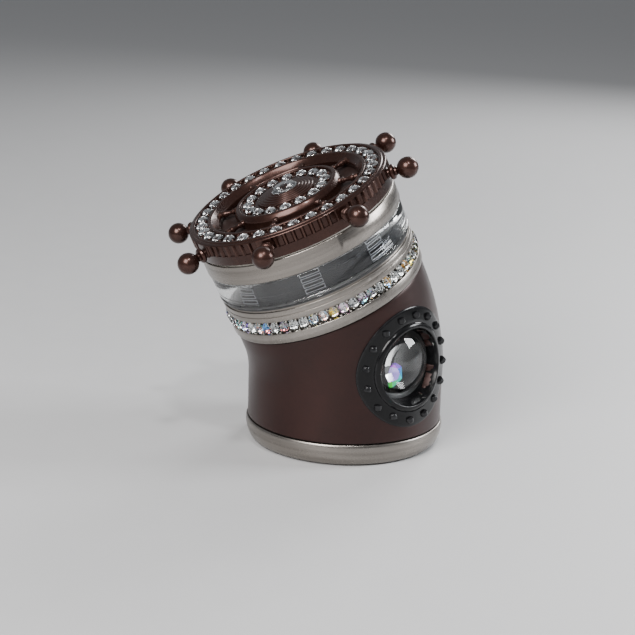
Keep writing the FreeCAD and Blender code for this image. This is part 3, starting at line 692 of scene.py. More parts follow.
def joined(shapes: Iterable[Mesh]) -> Mesh:
    """Gathers several meshes into one and frees them.

    Args:
        shapes: The meshes to gather.

    Returns:
        One mesh with all their faces.
    """
    whole = bmesh.new()
    for shape in shapes:
        part = bpy.data.meshes.new("part")
        shape.to_mesh(part)
        shape.free()
        whole.from_mesh(part)
        bpy.data.meshes.remove(part)
    return whole


def copies(shape: Mesh, places: Iterable[Matrix]) -> list[Mesh]:
    """Copies a mesh to several places and frees the original.

    Args:
        shape: The mesh to copy.
        places: One transform per copy.

    Returns:
        The placed copies.
    """
    made = []
    for place in places:
        made.append(shape.copy())
        made[-1].transform(place)
    shape.free()
    return made


def turn(degrees: float) -> Matrix:
    """Returns a turn about Z by an angle in degrees."""
    return Matrix.Rotation(math.radians(degrees), 4, "Z")


def along_x(height: float) -> Matrix:
    """Returns the placing that lays a shape drawn up Z outwards along X at a height."""
    return Matrix.Translation((0, 0, height)) @ Matrix.Rotation(math.radians(90), 4, "Y")


def paint(shape: Mesh, colour_of: Callable[[bmesh.types.BMFace], Sequence[float]]) -> None:
    """Gives every facet a colour of its own.

    Args:
        shape: The crystal.
        colour_of: Returns a facet's colour, three numbers.
    """
    tint = shape.loops.layers.float_color.new(FACET_TINT)
    for face in shape.faces:
        colour = colour_of(face)
        for loop in face.loops:
            loop[tint] = (*colour, 1.0)


def ring_of(count: int, start: float) -> list[Matrix]:
    """Returns evenly spaced turns about Z, the first at an angle in degrees."""
    return [turn(start + 360.0 * i / count) for i in range(count)]


def arc(centre: float, radius: float, reach: float, steps: int = 14) -> list[Point]:
    """Returns the points of a round cap, as (radius, height), that ends on the axis.

    Args:
        centre: Height of the arc's centre.
        radius: Its radius.
        reach: Angle of its first point from the axis, in radians.
        steps: How many chords it has.

    Returns:
        The points, from the widest to the pole.
    """
    angles = [reach * (1 - i / steps) for i in range(steps)]
    return [(radius * math.sin(a), centre + radius * math.cos(a)) for a in angles] + [(0, centre + radius)]


@dataclass(frozen=True)
class Cut:
    """A round faceted crystal: its rings of corners from the back to the table, as shares of its radius."""

    radius: float
    height: float
    girdle: float = 0.32
    table: float = 0.55
    sides: int = 8

    def build(self) -> Mesh:
        """Builds the cut crystal, its foiled back faces in material 1.

        Returns:
            The crystal standing on Z = 0.
        """
        shape = bmesh.new()
        half = math.pi / self.sides
        middle = self.girdle + (1.0 - self.girdle) * 0.62
        rings = ((self.sides, 0.30, 0.0, 0.0), (self.sides * 2, 1.0, self.girdle - 0.06, 0.0),
                 (self.sides * 2, 1.0, self.girdle, 0.0), (self.sides, 0.80, middle, half),
                 (self.sides, self.table, 1.0, 0.0))
        for count, share, level, offset in rings:
            for i in range(count):
                angle = math.tau * i / count + offset
                radius = self.radius * share
                shape.verts.new((radius * math.cos(angle), radius * math.sin(angle), self.height * level))
        bmesh.ops.convex_hull(shape, input=shape.verts[:])
        bmesh.ops.dissolve_limit(shape, angle_limit=math.radians(2), verts=shape.verts[:],
                                 edges=shape.edges[:])
        bmesh.ops.recalc_face_normals(shape, faces=shape.faces[:])
        for face in shape.faces:
            if face.normal.z < -0.1:
                face.material_index = 1
        return shape


# ---------------------------------------------------------------- sub-assemblies
@dataclass
class Wheel:
    """The wheel-shaped lid: rim with its flutes, hub, spokes, handles and crystals."""

    bench: Bench
    first: float = 8.5               # degrees to the first spoke and handle
    spokes: int = 8
    channel: Point = (20.4, 23.8)
    opening: float = 17.9
    bead: float = 0.8
    floor: float = 0.7
    depth: float = 2.9
    skirt: float = 2.5
    flute_height: float = 2.8
    flutes: int = 72
    flute_depth: float = 0.5
    flute_free: float = 3.6          # degrees without flutes on each side of a handle
    hub: float = 13.7
    hub_channel: Point = (7.5, 12.0)
    hub_lift: float = 0.2
    spoke_drop: float = 1.35
    handle_drop: float = 2.8
    ball: float = 2.6
    rim_stones: int = 32
    hub_stones: int = 16

    def __post_init__(self) -> None:
        """Reads the rim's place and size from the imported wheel."""
        span = self.bench.span("wheel", Axis.HEAD)
        self.foot = span.low
        self.top = span.high - self.hub_lift
        self.rib = span.outer
        self.skirt_bore = self.bench.span("lid_plate", Axis.HEAD).outer + 0.05

    def rim(self) -> Mesh:
        """Builds the fluted rim with its crystal channel.

        Returns:
            The mesh, in millimetres in its axis's frame.
        """
        top, rib, skirt = self.top, self.rib, self.rib - 0.3
        inside, outside = self.channel
        shoulder = self.foot + self.skirt
        crown = shoulder + self.flute_height
        profile = [
            (self.skirt_bore, self.foot), (skirt, self.foot), (skirt, shoulder), (rib, shoulder),
            (rib, shoulder + 0.35), (rib, crown - 0.25), (rib, crown), (rib - 0.25, crown + 0.22),
            (outside + self.bead + 0.1, crown + 0.3), (outside + self.bead, top), (outside, top),
            (outside, top - self.floor), (inside, top - self.floor), (inside, top), (inside - self.bead, top),
            (inside - self.bead - 0.15, top - 0.35), (self.opening, top - 1.5),
            (self.opening, top - self.depth), (self.skirt_bore, top - self.depth),
        ]
        rounds = {1: 0.2, 2: 0.05, 6: 0.12, 7: 0.12, 9: 0.28, 10: 0.25, 13: 0.25, 14: 0.28, 16: 0.3, 17: 0.2}
        shape = spun(profile, rounds, steps=self.flutes * 6)
        self.cut_flutes(shape, shoulder, crown)
        return shape

    def cut_flutes(self, shape: Mesh, low: float, high: float) -> None:
        """Presses the flutes into the band between two heights, leaving it plain beside each handle.

        Args:
            shape: The rim's mesh.
            low: Foot of the band.
            high: Its top.
        """
        for vert in shape.verts:
            radius = vert.co.xy.length
            if radius < self.rib - 0.12 or not low - 0.01 < vert.co.z < high + 0.01:
                continue
            angle = math.degrees(math.atan2(vert.co.y, vert.co.x)) - self.first
            phase = (angle * self.flutes / 360.0) % 1.0
            sector = 360.0 / self.spokes
            from_handle = abs((angle + sector / 2) % sector - sector / 2)
            if 0.30 < phase < 0.85 and from_handle >= self.flute_free:
                vert.co.xy *= 1.0 - self.flute_depth / radius

    def hub_disc(self) -> Mesh:
        """Builds the hub with its crystal channel and raised lip.

        Returns:
            The mesh, in millimetres in its axis's frame.
        """
        top, outside = self.top + self.hub_lift, self.hub_channel[1]
        profile = [
            (0, self.top - self.depth), (self.hub, self.top - self.depth), (self.hub, top - 1.3),
            (self.hub - 0.35, top - 0.75), (outside + self.bead, top), (outside, top),
            (outside, top - self.floor), (0, top - self.floor),
        ]
        return spun(profile, {2: 0.25, 3: 0.2, 4: 0.28, 5: 0.22}, steps=128)

    def spoke(self) -> Mesh:
        """Builds one turned spoke, from hub to rim along X.

        Returns:
            The mesh, in millimetres in its axis's frame.
        """
        low, high = self.hub - 0.5, self.opening + 0.5
        shares = ((0.0, 0.78), (0.16, 0.78), (0.20, 0.58), (0.24, 0.72), (0.29, 0.72), (0.33, 0.48),
                  (0.52, 0.56), (0.66, 0.82), (0.76, 0.84), (0.80, 0.6), (0.84, 0.76), (1.0, 0.76))
        turned = [(radius, low + (high - low) * share) for share, radius in shares]
        profile = [(0, low)] + turned + [(0, high)]
        shape = spun(profile, {2: 0.1, 6: 0.2, 7: 0.3, 9: 0.1}, steps=24, segments=2)
        shape.transform(along_x(self.top - self.spoke_drop))
        return shape

    def handle(self) -> Mesh:
        """Builds one turned handle along X: stem, collar, bead, neck and ball.

        Returns:
            The mesh, in millimetres in its axis's frame.
        """
        foot = self.rib - 0.3
        centre = foot + 2.9 + math.sqrt(self.ball ** 2 - 1.15 ** 2)
        profile = [
            (0, foot - 1.9), (0.8, foot - 1.9), (0.8, foot - 0.6), (1.45, foot - 0.6), (1.45, foot + 0.3),
            (1.15, foot + 0.45), (1.1, foot + 0.7), (1.72, foot + 0.95), (1.9, foot + 1.45),
            (1.72, foot + 1.95), (1.1, foot + 2.2), (1.05, foot + 2.55),
        ]
        profile += arc(centre, self.ball, math.pi - math.acos((centre - foot - 2.75) / self.ball))
        shape = spun(profile, {4: 0.12, 7: 0.2, 9: 0.2}, steps=40, segments=2)
        shape.transform(along_x(self.top - self.handle_drop))
        return shape

    def stones(self, count: int, circle: float, cut: Cut, level: float) -> Mesh:
        """Returns a circle of cut crystals with slight turns of their own.

        Args:
            count: How many crystals.
            circle: Radius of their circle.
            cut: Their cut.
            level: Height that they stand on.

        Returns:
            All the crystals in one mesh.
        """
        seeded = random.Random(count)
        places = [spin @ Matrix.Translation((circle, 0, level)) @ turn(seeded.uniform(0, 45))
                  @ Matrix.Rotation(math.radians(seeded.uniform(-3, 3)), 4, "X")
                  for spin in ring_of(count, self.first + 180.0 / count)]
        return joined(copies(cut.build(), places))

    def prongs(self, count: int, circle: float, reach: float, level: float) -> Mesh:
        """Returns the small beads that hold the crystals, a pair between each two.

        Args:
            count: How many crystals they hold.
            circle: Radius of the crystals' circle.
            reach: Distance of each bead from that circle.
            level: Height of the channel's floor.

        Returns:
            All the beads in one mesh.
        """
        profile = [(0, 0), (0.26, 0), (0.26, 0.42), (0.2, 0.58), (0, 0.66)]
        bead = spun(profile, {3: 0.06}, steps=10, segments=1)
        places = [spin @ Matrix.Translation((circle + side * reach, 0, level))
                  for spin in ring_of(count, self.first) for side in (-1, 1)]
        return joined(copies(bead, places))

    def boss(self) -> Mesh:
        """Builds the stepped rings in the middle of the hub.

        Returns:
            The mesh, in millimetres in its axis's frame.
        """
        span = self.bench.span("centre_boss", Axis.HEAD)
        seat, rise, steps = 3.55, span.high - span.low - 0.55, 5
        profile = [(0, span.low), (span.outer, span.low), (span.outer, span.low + 0.55)]
        width = (span.outer - seat) / steps
        rounds = {2: 0.15}
        for i in range(1, steps + 1):
            radius, height = span.outer - width * i, span.low + 0.55 + rise * i / steps
            profile += [(radius + width * 0.45, height - rise / steps - 0.02),
                        (radius + width * 0.22, height)]
            rounds[len(profile) - 1] = 0.09
        profile += [(3.32, span.high), (3.3, span.high - 0.5), (0, span.high - 0.5)]
        return spun(profile, rounds, steps=96, segments=2)

    def dress(self) -> None:
        """Builds and places every piece of the wheel."""
        finish, axis, lid = self.bench.finish, Axis.HEAD, Body.LID
        slot, brown = "wheel_brown", [WHEEL_BROWN]
        turns = ring_of(self.spokes, self.first)
        finish("wheel_rim", self.rim(), axis, brown, lid, slot, ["wheel"])
        finish("wheel_hub", self.hub_disc(), axis, brown, lid, slot)
        finish("wheel_spokes", joined(copies(self.spoke(), turns)), axis, brown, lid, slot)
        for number, handle in enumerate(copies(self.handle(), turns), 1):
            finish(f"turned_handle_{number}", handle, axis, brown, lid, slot, [f"handle_{number}"])
        finish("hub_boss", self.boss(), axis, [BOSS_BROWN], lid, slot, ["centre_boss"])
        floor, hub_floor = self.top - self.floor, self.top + self.hub_lift - self.floor
        circle, hub_circle = sum(self.channel) / 2, sum(self.hub_channel) / 2 + 0.15
        rim = self.stones(self.rim_stones, circle, Cut(1.52, 0.95), floor)
        hub = self.stones(self.hub_stones, hub_circle, Cut(1.47, 0.95), hub_floor)
        finish("rim_prongs", self.prongs(self.rim_stones, circle, 1.05, floor), axis, brown, lid, slot)
        finish("hub_prongs", self.prongs(self.hub_stones, hub_circle, 1.2, hub_floor), axis, brown, lid, slot)
        span = self.bench.span("centre_crystal", axis)
        centre = Cut(span.outer, span.high - span.low, girdle=0.35, table=0.52, sides=12).build()
        centre.transform(Matrix.Translation((0, 0, span.low)))
        for name, stones, node in (("rim_stones", rim, "rim_crystals"), ("hub_stones", hub, "hub_crystals"),
                                   ("centre_stone", centre, "centre_crystal")):
            finish(name, stones, axis, [CRYSTAL, FOIL], lid, "clear_crystal", [node], 0)


@dataclass
class Plain:
    """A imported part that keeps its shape: a welded, smooth-shaded copy with its own finish.

    Where it has two finishes, its top face along the head takes the second.
    """

    bench: Bench
    node: str
    body: str
    slot: str
    finishes: Sequence[Finish]

    def dress(self) -> None:
        """Builds the welded copy and places it."""
        back = self.bench.frames[Axis.HEAD].inverted()
        shape = bmesh.new()
        shape.from_mesh(frame["nodes"][self.node].data)
        bmesh.ops.remove_doubles(shape, verts=shape.verts[:], dist=1e-7)
        bmesh.ops.dissolve_limit(shape, angle_limit=math.radians(0.05), verts=shape.verts[:],
                                 edges=shape.edges[:])
        shape.transform(back)
        shape.normal_update()
        if len(self.finishes) > 1:
            top = self.bench.span(self.node, Axis.HEAD).high - 0.1
            for face in shape.faces:
                face.material_index = int(face.normal.z > 0.9 and face.calc_center_median().z > top)
        self.bench.finish(self.node + "_finished", shape, Axis.HEAD, self.finishes, Body(self.body),
                          self.slot, [self.node])


@dataclass
class Head:
    """Rings of the head under the lid: glass, lower ring, crystal band and collar."""

    bench: Bench
    band_stones: int = 60
    band_height: float = 3.1
    band_depth: float = 1.5
    slot_groups: int = 8
    slots: int = 4
    slot: Point = (4.4, 0.65)                                # across, along the axis
    slot_pitch: float = 1.3
    stone: tuple[float, float, float] = (2.36, 2.85, 1.75)   # across, along the axis, deep
    seal_gap: float = 0.02                                   # keeps the collar's shoulder off the seal
    lip: Point = (0.15, 0.2)                                 # width and height of a slot's lip
    sparks: Sequence[Colour] = ((0.22, 0.50, 1.0), (1.0, 0.85, 0.22), (1.0, 0.30, 0.22), (1.0, 0.45, 0.88),
                                (0.30, 0.95, 0.90), (0.55, 0.40, 1.0), (1.0, 0.60, 0.20))

    def glass(self) -> Mesh:
        """Builds the glass ring with its moulded foot lip.

        Returns:
            The mesh, in millimetres in its axis's frame.
        """
        s = self.bench.span("glass_ring", Axis.HEAD)
        profile = [
            (s.inner, s.low), (s.outer - 0.3, s.low), (s.outer, s.low + 0.3), (s.outer, s.low + 0.75),
            (s.outer - 0.22, s.low + 0.95), (s.outer - 0.22, s.low + 1.25), (s.outer, s.low + 1.45),
            (s.outer, s.high), (s.inner, s.high),
        ]
        return spun(profile, {0: 0.2, 1: 0.1, 3: 0.1, 6: 0.1, 7: 0.25, 8: 0.2}, steps=192)

    def lower_ring(self) -> Mesh:
        """Builds the metal ring under the glass, with a stepped and grooved upper edge.

        Returns:
            The mesh, in millimetres in its axis's frame.
        """
        s = self.bench.span("lower_ring", Axis.HEAD)
        profile = [
            (s.inner, s.low), (s.outer, s.low), (s.outer, s.low + 1.3), (s.outer - 0.14, s.low + 1.38),
            (s.outer - 0.14, s.low + 1.5), (s.outer, s.low + 1.58), (s.outer, s.high - 0.55),
            (s.outer - 0.3, s.high - 0.5), (s.outer - 0.3, s.high), (s.inner, s.high),
        ]
        return spun(profile, {1: 0.14, 2: 0.04, 5: 0.04, 6: 0.1, 8: 0.08}, steps=192)

    def collar(self) -> Mesh:
        """Builds the collar that carries the crystal band, with its spigot.

        Returns:
            The mesh, in millimetres in its axis's frame.
        """
        s = self.bench.span("crystal_collar", Axis.HEAD)
        ring = self.bench.span("lower_ring", Axis.HEAD)
        seal = self.bench.span("mouth_seal", Axis.HEAD)
        low, band, top = seal.high + self.seal_gap, ring.low - self.band_height, ring.low
        channel = s.outer - self.band_depth
        profile = [
            (s.inner, s.low), (SPIGOT_RADIUS, s.low), (SPIGOT_RADIUS, low), (s.outer, low), (s.outer, band),
            (channel, band), (channel, top), (ring.inner, top), (ring.inner, band), (s.inner, band),
        ]
        return spun(profile, {1: 0.25, 3: 0.25, 4: 0.16}, steps=192)

    def band(self) -> Mesh:
        """Builds the band of cushion-cut crystals; each facet carries its own faint colour.

        Returns:
            The mesh, in millimetres in its axis's frame.
        """
        s = self.bench.span("band_crystals", Axis.HEAD)
        middle = (s.low + s.high) / 2
        seeded = random.Random(11)
        stones = []
        for spin in ring_of(self.band_stones, 0.0):
            shape = self.cushion(seeded.uniform(-0.04, 0.04))
            spark = seeded.choice(self.sparks) if seeded.random() < 0.6 else None
            paint(shape, lambda face: self.glint(face, spark, seeded))
            tilt = Matrix.Rotation(math.radians(seeded.uniform(-4, 4)), 4, "Z")
            shape.transform(spin @ Matrix.Translation((s.inner, 0, middle)) @ tilt)
            stones.append(shape)
        return joined(stones)

    def cushion(self, wobble: float) -> Mesh:
        """Returns one cushion-cut crystal that faces along X.

        Args:
            wobble: Turn of its back and its table in radians.

        Returns:
            The crystal, its foiled back faces in material 1.
        """
        across, tall, deep = self.stone
        shape = bmesh.new()
        rings = ((0.62, 0.0, 4), (1.0, 0.30, 8), (1.0, 0.42, 8), (0.78, 0.80, 8), (0.5, 1.0, 4))
        for share, level, corners in rings:
            for i in range(corners):
                angle = math.tau * (i + 0.5) / corners + (wobble if corners == 4 else 0.0)
                y, z = math.cos(angle), math.sin(angle)
                reach = share / 2 * (0.94 / max(abs(y), abs(z)) if corners == 8 else 1.41 * 0.72)
                shape.verts.new((deep * level, across * reach * y, tall * reach * z))
        bmesh.ops.convex_hull(shape, input=shape.verts[:])
        bmesh.ops.recalc_face_normals(shape, faces=shape.faces[:])
        for face in shape.faces:
            face.material_index = int(face.normal.x < -0.1)
        return shape

    def glint(self, face: bmesh.types.BMFace, spark: Colour | None, seeded: random.Random) -> Colour:
        """Returns one facet's colour: a grey, or now and then a bright one.

        Args:
            face: The facet.
            spark: The crystal's own bright colour, where it has one.
            seeded: The band's random numbers.

        Returns:
            The colour.
        """
        shade = seeded.uniform(0.45, 1.0)
        if spark and seeded.random() < 0.24:
            return seeded.choice((spark, spark, seeded.choice(self.sparks)))
        return shade * 0.98, shade, shade

    def slot_highlight_lips(self) -> Mesh:
        """Builds the thin rolled lips round the sleeve's slots: a frame each, bent to the sleeve, whose light
        steel is a painted highlight along the slots' edges.

        Returns:
            The mesh, in millimetres in its axis's frame.
        """
        sleeve = self.bench.span("sifter_sleeve", Axis.HEAD)
        glass = self.bench.span("glass_ring", Axis.HEAD)
        (width, tall), (lip, height) = self.slot, self.lip
        shape = bmesh.new()
        bmesh.ops.create_grid(shape, x_segments=12, y_segments=1, size=0.5)
        bmesh.ops.scale(shape, vec=(width + 2 * lip, tall + 2 * lip, 1.0), verts=shape.verts[:])
        rim = bmesh.ops.inset_region(shape, faces=shape.faces[:], thickness=lip, use_boundary=True,
                                     use_even_offset=True)["faces"]
        bmesh.ops.delete(shape, geom=[f for f in shape.faces if f not in rim], context="FACES")
        bmesh.ops.solidify(shape, geom=shape.faces[:], thickness=-height)
        bmesh.ops.recalc_face_normals(shape, faces=shape.faces[:])
        for vert in shape.verts:
            angle, radius = vert.co.x / sleeve.outer, sleeve.outer + vert.co.z
            vert.co = Vector((radius * math.cos(angle), radius * math.sin(angle), vert.co.y))
        lowest = (glass.low + glass.high - (self.slots - 1) * self.slot_pitch) / 2
        places = [spin @ Matrix.Translation((0, 0, lowest + row * self.slot_pitch))
                  for spin in ring_of(self.slot_groups, 180.0 / self.slot_groups)
                  for row in range(self.slots)]
        return joined(copies(shape, places))

    def claws(self) -> Mesh:
        """Builds the small beads between the band's crystals, along both of its edges.

        Returns:
            The mesh, in millimetres in its axis's frame.
        """
        s = self.bench.span("band_crystals", Axis.HEAD)
        bead = spun([(0, 0), (0.3, 0), (0.3, 0.5), (0.2, 0.68), (0, 0.74)], {3: 0.05}, steps=8, segments=1)
        middle = (s.low + s.high) / 2
        places = [spin @ Matrix.Translation((s.inner + 0.75, 0, 0)) @ along_x(middle + side * 1.3)
                  for spin in ring_of(self.band_stones, 180.0 / self.band_stones) for side in (-1, 1)]
        return joined(copies(bead, places))

    def dress(self) -> None:
        """Builds and places every piece of the head's outside."""
        finish, axis, head, nickel = self.bench.finish, Axis.HEAD, Body.HEAD, [HEAD_NICKEL]
        finish("glass_ring_moulded", self.glass(), axis, [GLASS], head, "clear_glass", ["glass_ring"])
        finish("lower_ring_turned", self.lower_ring(), axis, nickel, head, "nickel", ["lower_ring"])
        finish("crystal_collar_turned", self.collar(), axis, nickel, head, "nickel", ["crystal_collar"])
        finish("band_stones", self.band(), axis, [AURORA, AURORA_FOIL], head, "aurora_crystal",
               ["band_crystals"], 0)
        # the slots' lips are real raised frames; their light steel is a painted highlight along the slot edges
        finish("slot_highlight_lips", self.slot_highlight_lips(), axis, [SLOT_HIGHLIGHT_STEEL], head, "dark_alloy")
        finish("band_claws", self.claws(), axis, nickel, head, "nickel")


@dataclass
class Case:
    """The elbow case and the base cap."""

    bench: Bench
    bend_run: float = 9.0
    wall: float = 2.1
    ring_steps: int = 192
    runs: tuple[int, int, int] = (12, 24, 5)     # steps up the foot, round the bend and up the mouth
    port_hole: float = 9.5

    def elbow(self) -> Mesh:
        """Builds the elbow as a bent tube with the porthole's hole, closed at both rims.

        Returns:
            The mesh, in millimetres in its axis's frame.
        """
        low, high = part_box("elbow_body")
        foot, bend_foot = low.z / MM, LEAN_JOINT["pos_m"][2] / MM - self.bend_run
        straight = self.bench.span("elbow_body", Axis.HEAD).high - self.bend_run
        shape = bmesh.new()
        made = bmesh.ops.create_circle(shape, segments=self.ring_steps, radius=high.y / MM)
        bmesh.ops.translate(shape, verts=made["verts"], vec=(0, 0, foot))
        ring = list(shape.edges)
        up, round_bend, out = self.runs
        pivot = Vector((-self.bend_run / math.tan(LEAN / 2), 0, bend_foot))
        bend = Matrix.Rotation(-LEAN / round_bend, 4, "Y")
        step = Matrix.Translation(pivot) @ bend @ Matrix.Translation(-pivot)
        leaning = Vector((-math.sin(LEAN), 0, math.cos(LEAN)))
        moves = ([Matrix.Translation((0, 0, (bend_foot - foot) / up))] * up + [step] * round_bend
                 + [Matrix.Translation(leaning * straight / out)] * out)
        for move in moves:
            grown = bmesh.ops.extrude_edge_only(shape, edges=ring)["geom"]
            verts = [g for g in grown if isinstance(g, bmesh.types.BMVert)]
            bmesh.ops.transform(shape, matrix=move, verts=verts)
            ring = [g for g in grown if isinstance(g, Edge)]
        self.pierce(shape)
        bmesh.ops.recalc_face_normals(shape, faces=shape.faces[:])
        middles = [(face.normal.xy, face.calc_center_median()) for face in shape.faces]
        if sum(normal.dot(middle.xy) for normal, middle in middles if middle.z < bend_foot) < 0:
            bmesh.ops.reverse_faces(shape, faces=shape.faces[:])
        thicken(shape, self.wall, 0.3)
        return shape

    def pierce(self, shape: Mesh) -> None:
        """Opens the round hole behind the porthole and trims its edge to a true circle.

        Args:
            shape: The tube's mesh in millimetres, upright frame.
        """
        to_port = self.bench.frames[Axis.PORT].inverted() @ self.bench.frames[Axis.UPRIGHT]
        back = to_port.inverted()
        spots = [(face, to_port @ face.calc_center_median()) for face in shape.faces]
        gone = [face for face, spot in spots if spot.z > 0 and spot.xy.length < self.port_hole]
        bmesh.ops.delete(shape, geom=gone, context="FACES")
        for vert in shape.verts:
            spot = to_port @ vert.co
            if vert.is_boundary and spot.z > 0 and spot.xy.length < self.port_hole * 1.25:
                spot.xy *= self.port_hole / spot.xy.length
                vert.co = back @ spot

    def base(self) -> Mesh:
        """Builds the base cap with its bulging wall, spigot and dish.

        Returns:
            The mesh, in millimetres in its axis's frame.
        """
        s = self.bench.span("base_cap", Axis.UPRIGHT)
        pad = self.bench.span("foot_pad", Axis.UPRIGHT)
        shoulder = self.bench.span("base_seal", Axis.UPRIGHT).low
        bore, floor = SPIGOT_RADIUS - 1.5, s.low + 1.9
        profile = [
            (0, pad.high), (pad.outer, pad.high), (pad.outer, s.low), (s.outer - 1.5, s.low),
            (s.outer, (s.low + shoulder) / 2), (s.outer - 0.12, shoulder - 0.5), (s.outer - 0.35, shoulder),
            (SPIGOT_RADIUS, shoulder), (SPIGOT_RADIUS, s.high), (bore, s.high), (bore, floor), (0, floor),
        ]
        return spun(profile, {3: 0.6, 4: 1.9, 6: 0.16, 8: 0.25, 9: 0.25, 10: 0.7}, steps=192, segments=5)

    def pad(self) -> Mesh:
        """Builds the foot pad with shallow rings under it.

        Returns:
            The mesh, in millimetres in its axis's frame.
        """
        s = self.bench.span("foot_pad", Axis.UPRIGHT)
        profile = [(0, s.low + 0.12), (7.0, s.low + 0.12), (7.2, s.low), (12.8, s.low), (13.0, s.low + 0.12),
                   (15.0, s.low + 0.12), (15.2, s.low), (s.outer - 0.2, s.low), (s.outer, s.low + 0.2),
                   (s.outer, s.high), (0, s.high)]
        return spun(profile, steps=96)

    def dress(self) -> None:
        """Builds and places the case and the base."""
        finish, axis = self.bench.finish, Axis.UPRIGHT
        finish("elbow_case", self.elbow(), axis, [MAHOGANY], Body.CASE, "mahogany", ["elbow_body"])
        finish("base_cap_turned", self.base(), axis, [NICKEL], Body.BASE, "nickel", ["base_cap"])
        finish("foot_pad_ringed", self.pad(), axis, [RUBBER], Body.BASE, "pad_rubber", ["foot_pad"])


@dataclass
class Porthole:
    """Riveted plate, bezel, lens, cup and the bright crystal behind the lens."""

    bench: Bench
    rivets: int = 16
    rivet_turn: float = -4.0         # degrees
    rivet: Point = (0.95, 1.05)      # radius and height

    def __post_init__(self) -> None:
        """Measures the plate and keeps its surface and the bezel's for laying things on them."""
        self.plate_span = self.bench.span("porthole_plate", Axis.PORT)
        self.surface = self.tree_of("porthole_plate")
        self.lip = self.tree_of("porthole_bezel")

    def tree_of(self, node: str) -> BVHTree:
        """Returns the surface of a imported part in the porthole's frame.

        Args:
            node: The part's name.

        Returns:
            The surface, ready for laying things on it.
        """
        shape = bmesh.new()
        shape.from_mesh(frame["nodes"][node].data)
        shape.transform(self.bench.frames[Axis.PORT].inverted())
        tree = BVHTree.FromBMesh(shape)
        shape.free()
        return tree

    def lay(self, tree: BVHTree, x: float, y: float) -> tuple[Vector, Vector]:
        """Finds the point of an outer surface beside the porthole's axis.

        Args:
            tree: The surface.
            x: Distance to the right of the axis.
            y: Distance above it.

        Returns:
            The point and the surface's outward normal.
        """
        spot, normal, _, _ = tree.ray_cast(Vector((x, y, 100.0)), Vector((0, 0, -1)))
        if spot is None:
            spot, normal, _, _ = tree.find_nearest(Vector((x, y, self.plate_span.high)))
        return spot, normal if normal.z > 0 else -normal

    def plate(self) -> Mesh:
        """Builds the plate: a flat ring laid onto the case, given its thickness and bevelled rims.

        Returns:
            The mesh, in millimetres in its axis's frame.
        """
        inner, outer = self.plate_span.inner + 0.02, self.plate_span.outer - 0.02
        shape = bmesh.new()
        verts = [shape.verts.new((inner + (outer - inner) * i / 6, 0, 0)) for i in range(7)]
        for first, second in zip(verts, verts[1:]):
            shape.edges.new((first, second))
        spin_round(shape, 120)
        for vert in shape.verts:
            vert.co.z = self.lay(self.surface, vert.co.x * 0.995, vert.co.y * 0.995)[0].z
        bmesh.ops.recalc_face_normals(shape, faces=shape.faces[:])
        if sum(f.normal.z for f in shape.faces) < 0:
            bmesh.ops.reverse_faces(shape, faces=shape.faces[:])
        thicken(shape, 1.0, 0.2)
        return shape

    def rivet_ring(self) -> Mesh:
        """Builds the ring of domed rivets, each square to the plate where it stands.

        Returns:
            The mesh, in millimetres in its axis's frame.
        """
        r, h = self.rivet
        profile = [(0, -0.3), (r, -0.3), (r, h * 0.45), (r * 0.94, h * 0.68), (r * 0.74, h * 0.88),
                   (r * 0.42, h * 0.98), (0, h)]
        circle = (self.plate_span.inner + self.plate_span.outer) / 2 + 0.02
        places = []
        for spin in ring_of(self.rivets, self.rivet_turn):
            spot, normal = self.lay(self.surface, *(spin @ Vector((circle, 0, 0))).xy)
            places.append(Matrix.Translation(spot) @ normal.to_track_quat("Z", "Y").to_matrix().to_4x4())
        return joined(copies(spun(profile, steps=24), places))

    def bezel(self) -> Mesh:
        """Builds the bezel: a lip that follows the case's curve, and the well and ledge round the lens.

        Returns:
            The mesh, in millimetres in its axis's frame.
        """
        s, lens, gasket = (self.bench.span(node, Axis.PORT)
                           for node in ("porthole_bezel", "porthole_lens", "lens_gasket"))
        foot, face, well = s.outer, s.high, lens.outer + 0.1
        stem, rest = s.inner + 1.9, s.low + 2.5
        mouth, bend = well + 1.0, lens.low + 0.7
        profile = [
            (gasket.inner, s.low), (stem, s.low), (stem, rest), (foot, rest), (foot, face - 0.62),
            (foot - 0.28, face - 0.16), (mouth + 0.42, face), (mouth, face - 0.1),
            (mouth - 0.5, face - 2.6), (well, bend), (well, gasket.low), (gasket.inner, gasket.low),
        ]
        shape = spun(profile, {5: 0.14, 6: 0.12, 7: 0.14, 9: 0.3}, steps=160)
        for vert in shape.verts:
            share = (vert.co.z - bend) / (face - bend)
            if share > 0:
                radius = vert.co.xy.length
                place = vert.co.xy * min(max(radius, mouth + 0.15), foot - 0.1) / radius
                vert.co.z += share * (self.lay(self.lip, *place)[0].z - face)
        return shape

    def lens(self) -> Mesh:
        """Builds the domed lens.

        Returns:
            The mesh, in millimetres in its axis's frame.
        """
        s = self.bench.span("porthole_lens", Axis.PORT)
        crown = s.high - s.low - 0.7
        curve = (s.outer ** 2 + crown ** 2) / (2 * crown)
        reach = math.asin(s.outer / curve)
        profile = [(0, s.low), (s.outer, s.low)] + arc(s.high - curve, curve, reach)
        return spun(profile, {1: 0.12, 2: 0.12}, steps=128)

    def cup(self) -> Mesh:
        """Builds the cup that closes the porthole from inside, with stepped rings on its wall.

        Returns:
            The mesh, in millimetres in its axis's frame.
        """
        s = self.bench.span("lens_cup", Axis.PORT)
        wall, pitch = 0.8, 0.9
        inside, floor = s.outer - wall, s.low + wall
        profile = [(0, s.low), (s.outer, s.low), (s.outer, s.high), (inside, s.high)]
        for i in range(int((s.high - s.low - 1.7) / pitch)):
            level = s.high - 0.5 - i * pitch
            profile += [(inside, level), (inside - 0.25, level - 0.12), (inside - 0.25, level - 0.45),
                        (inside, level - 0.57)]
        return spun(profile + [(inside, floor), (0, floor)], {1: 0.4}, steps=128)

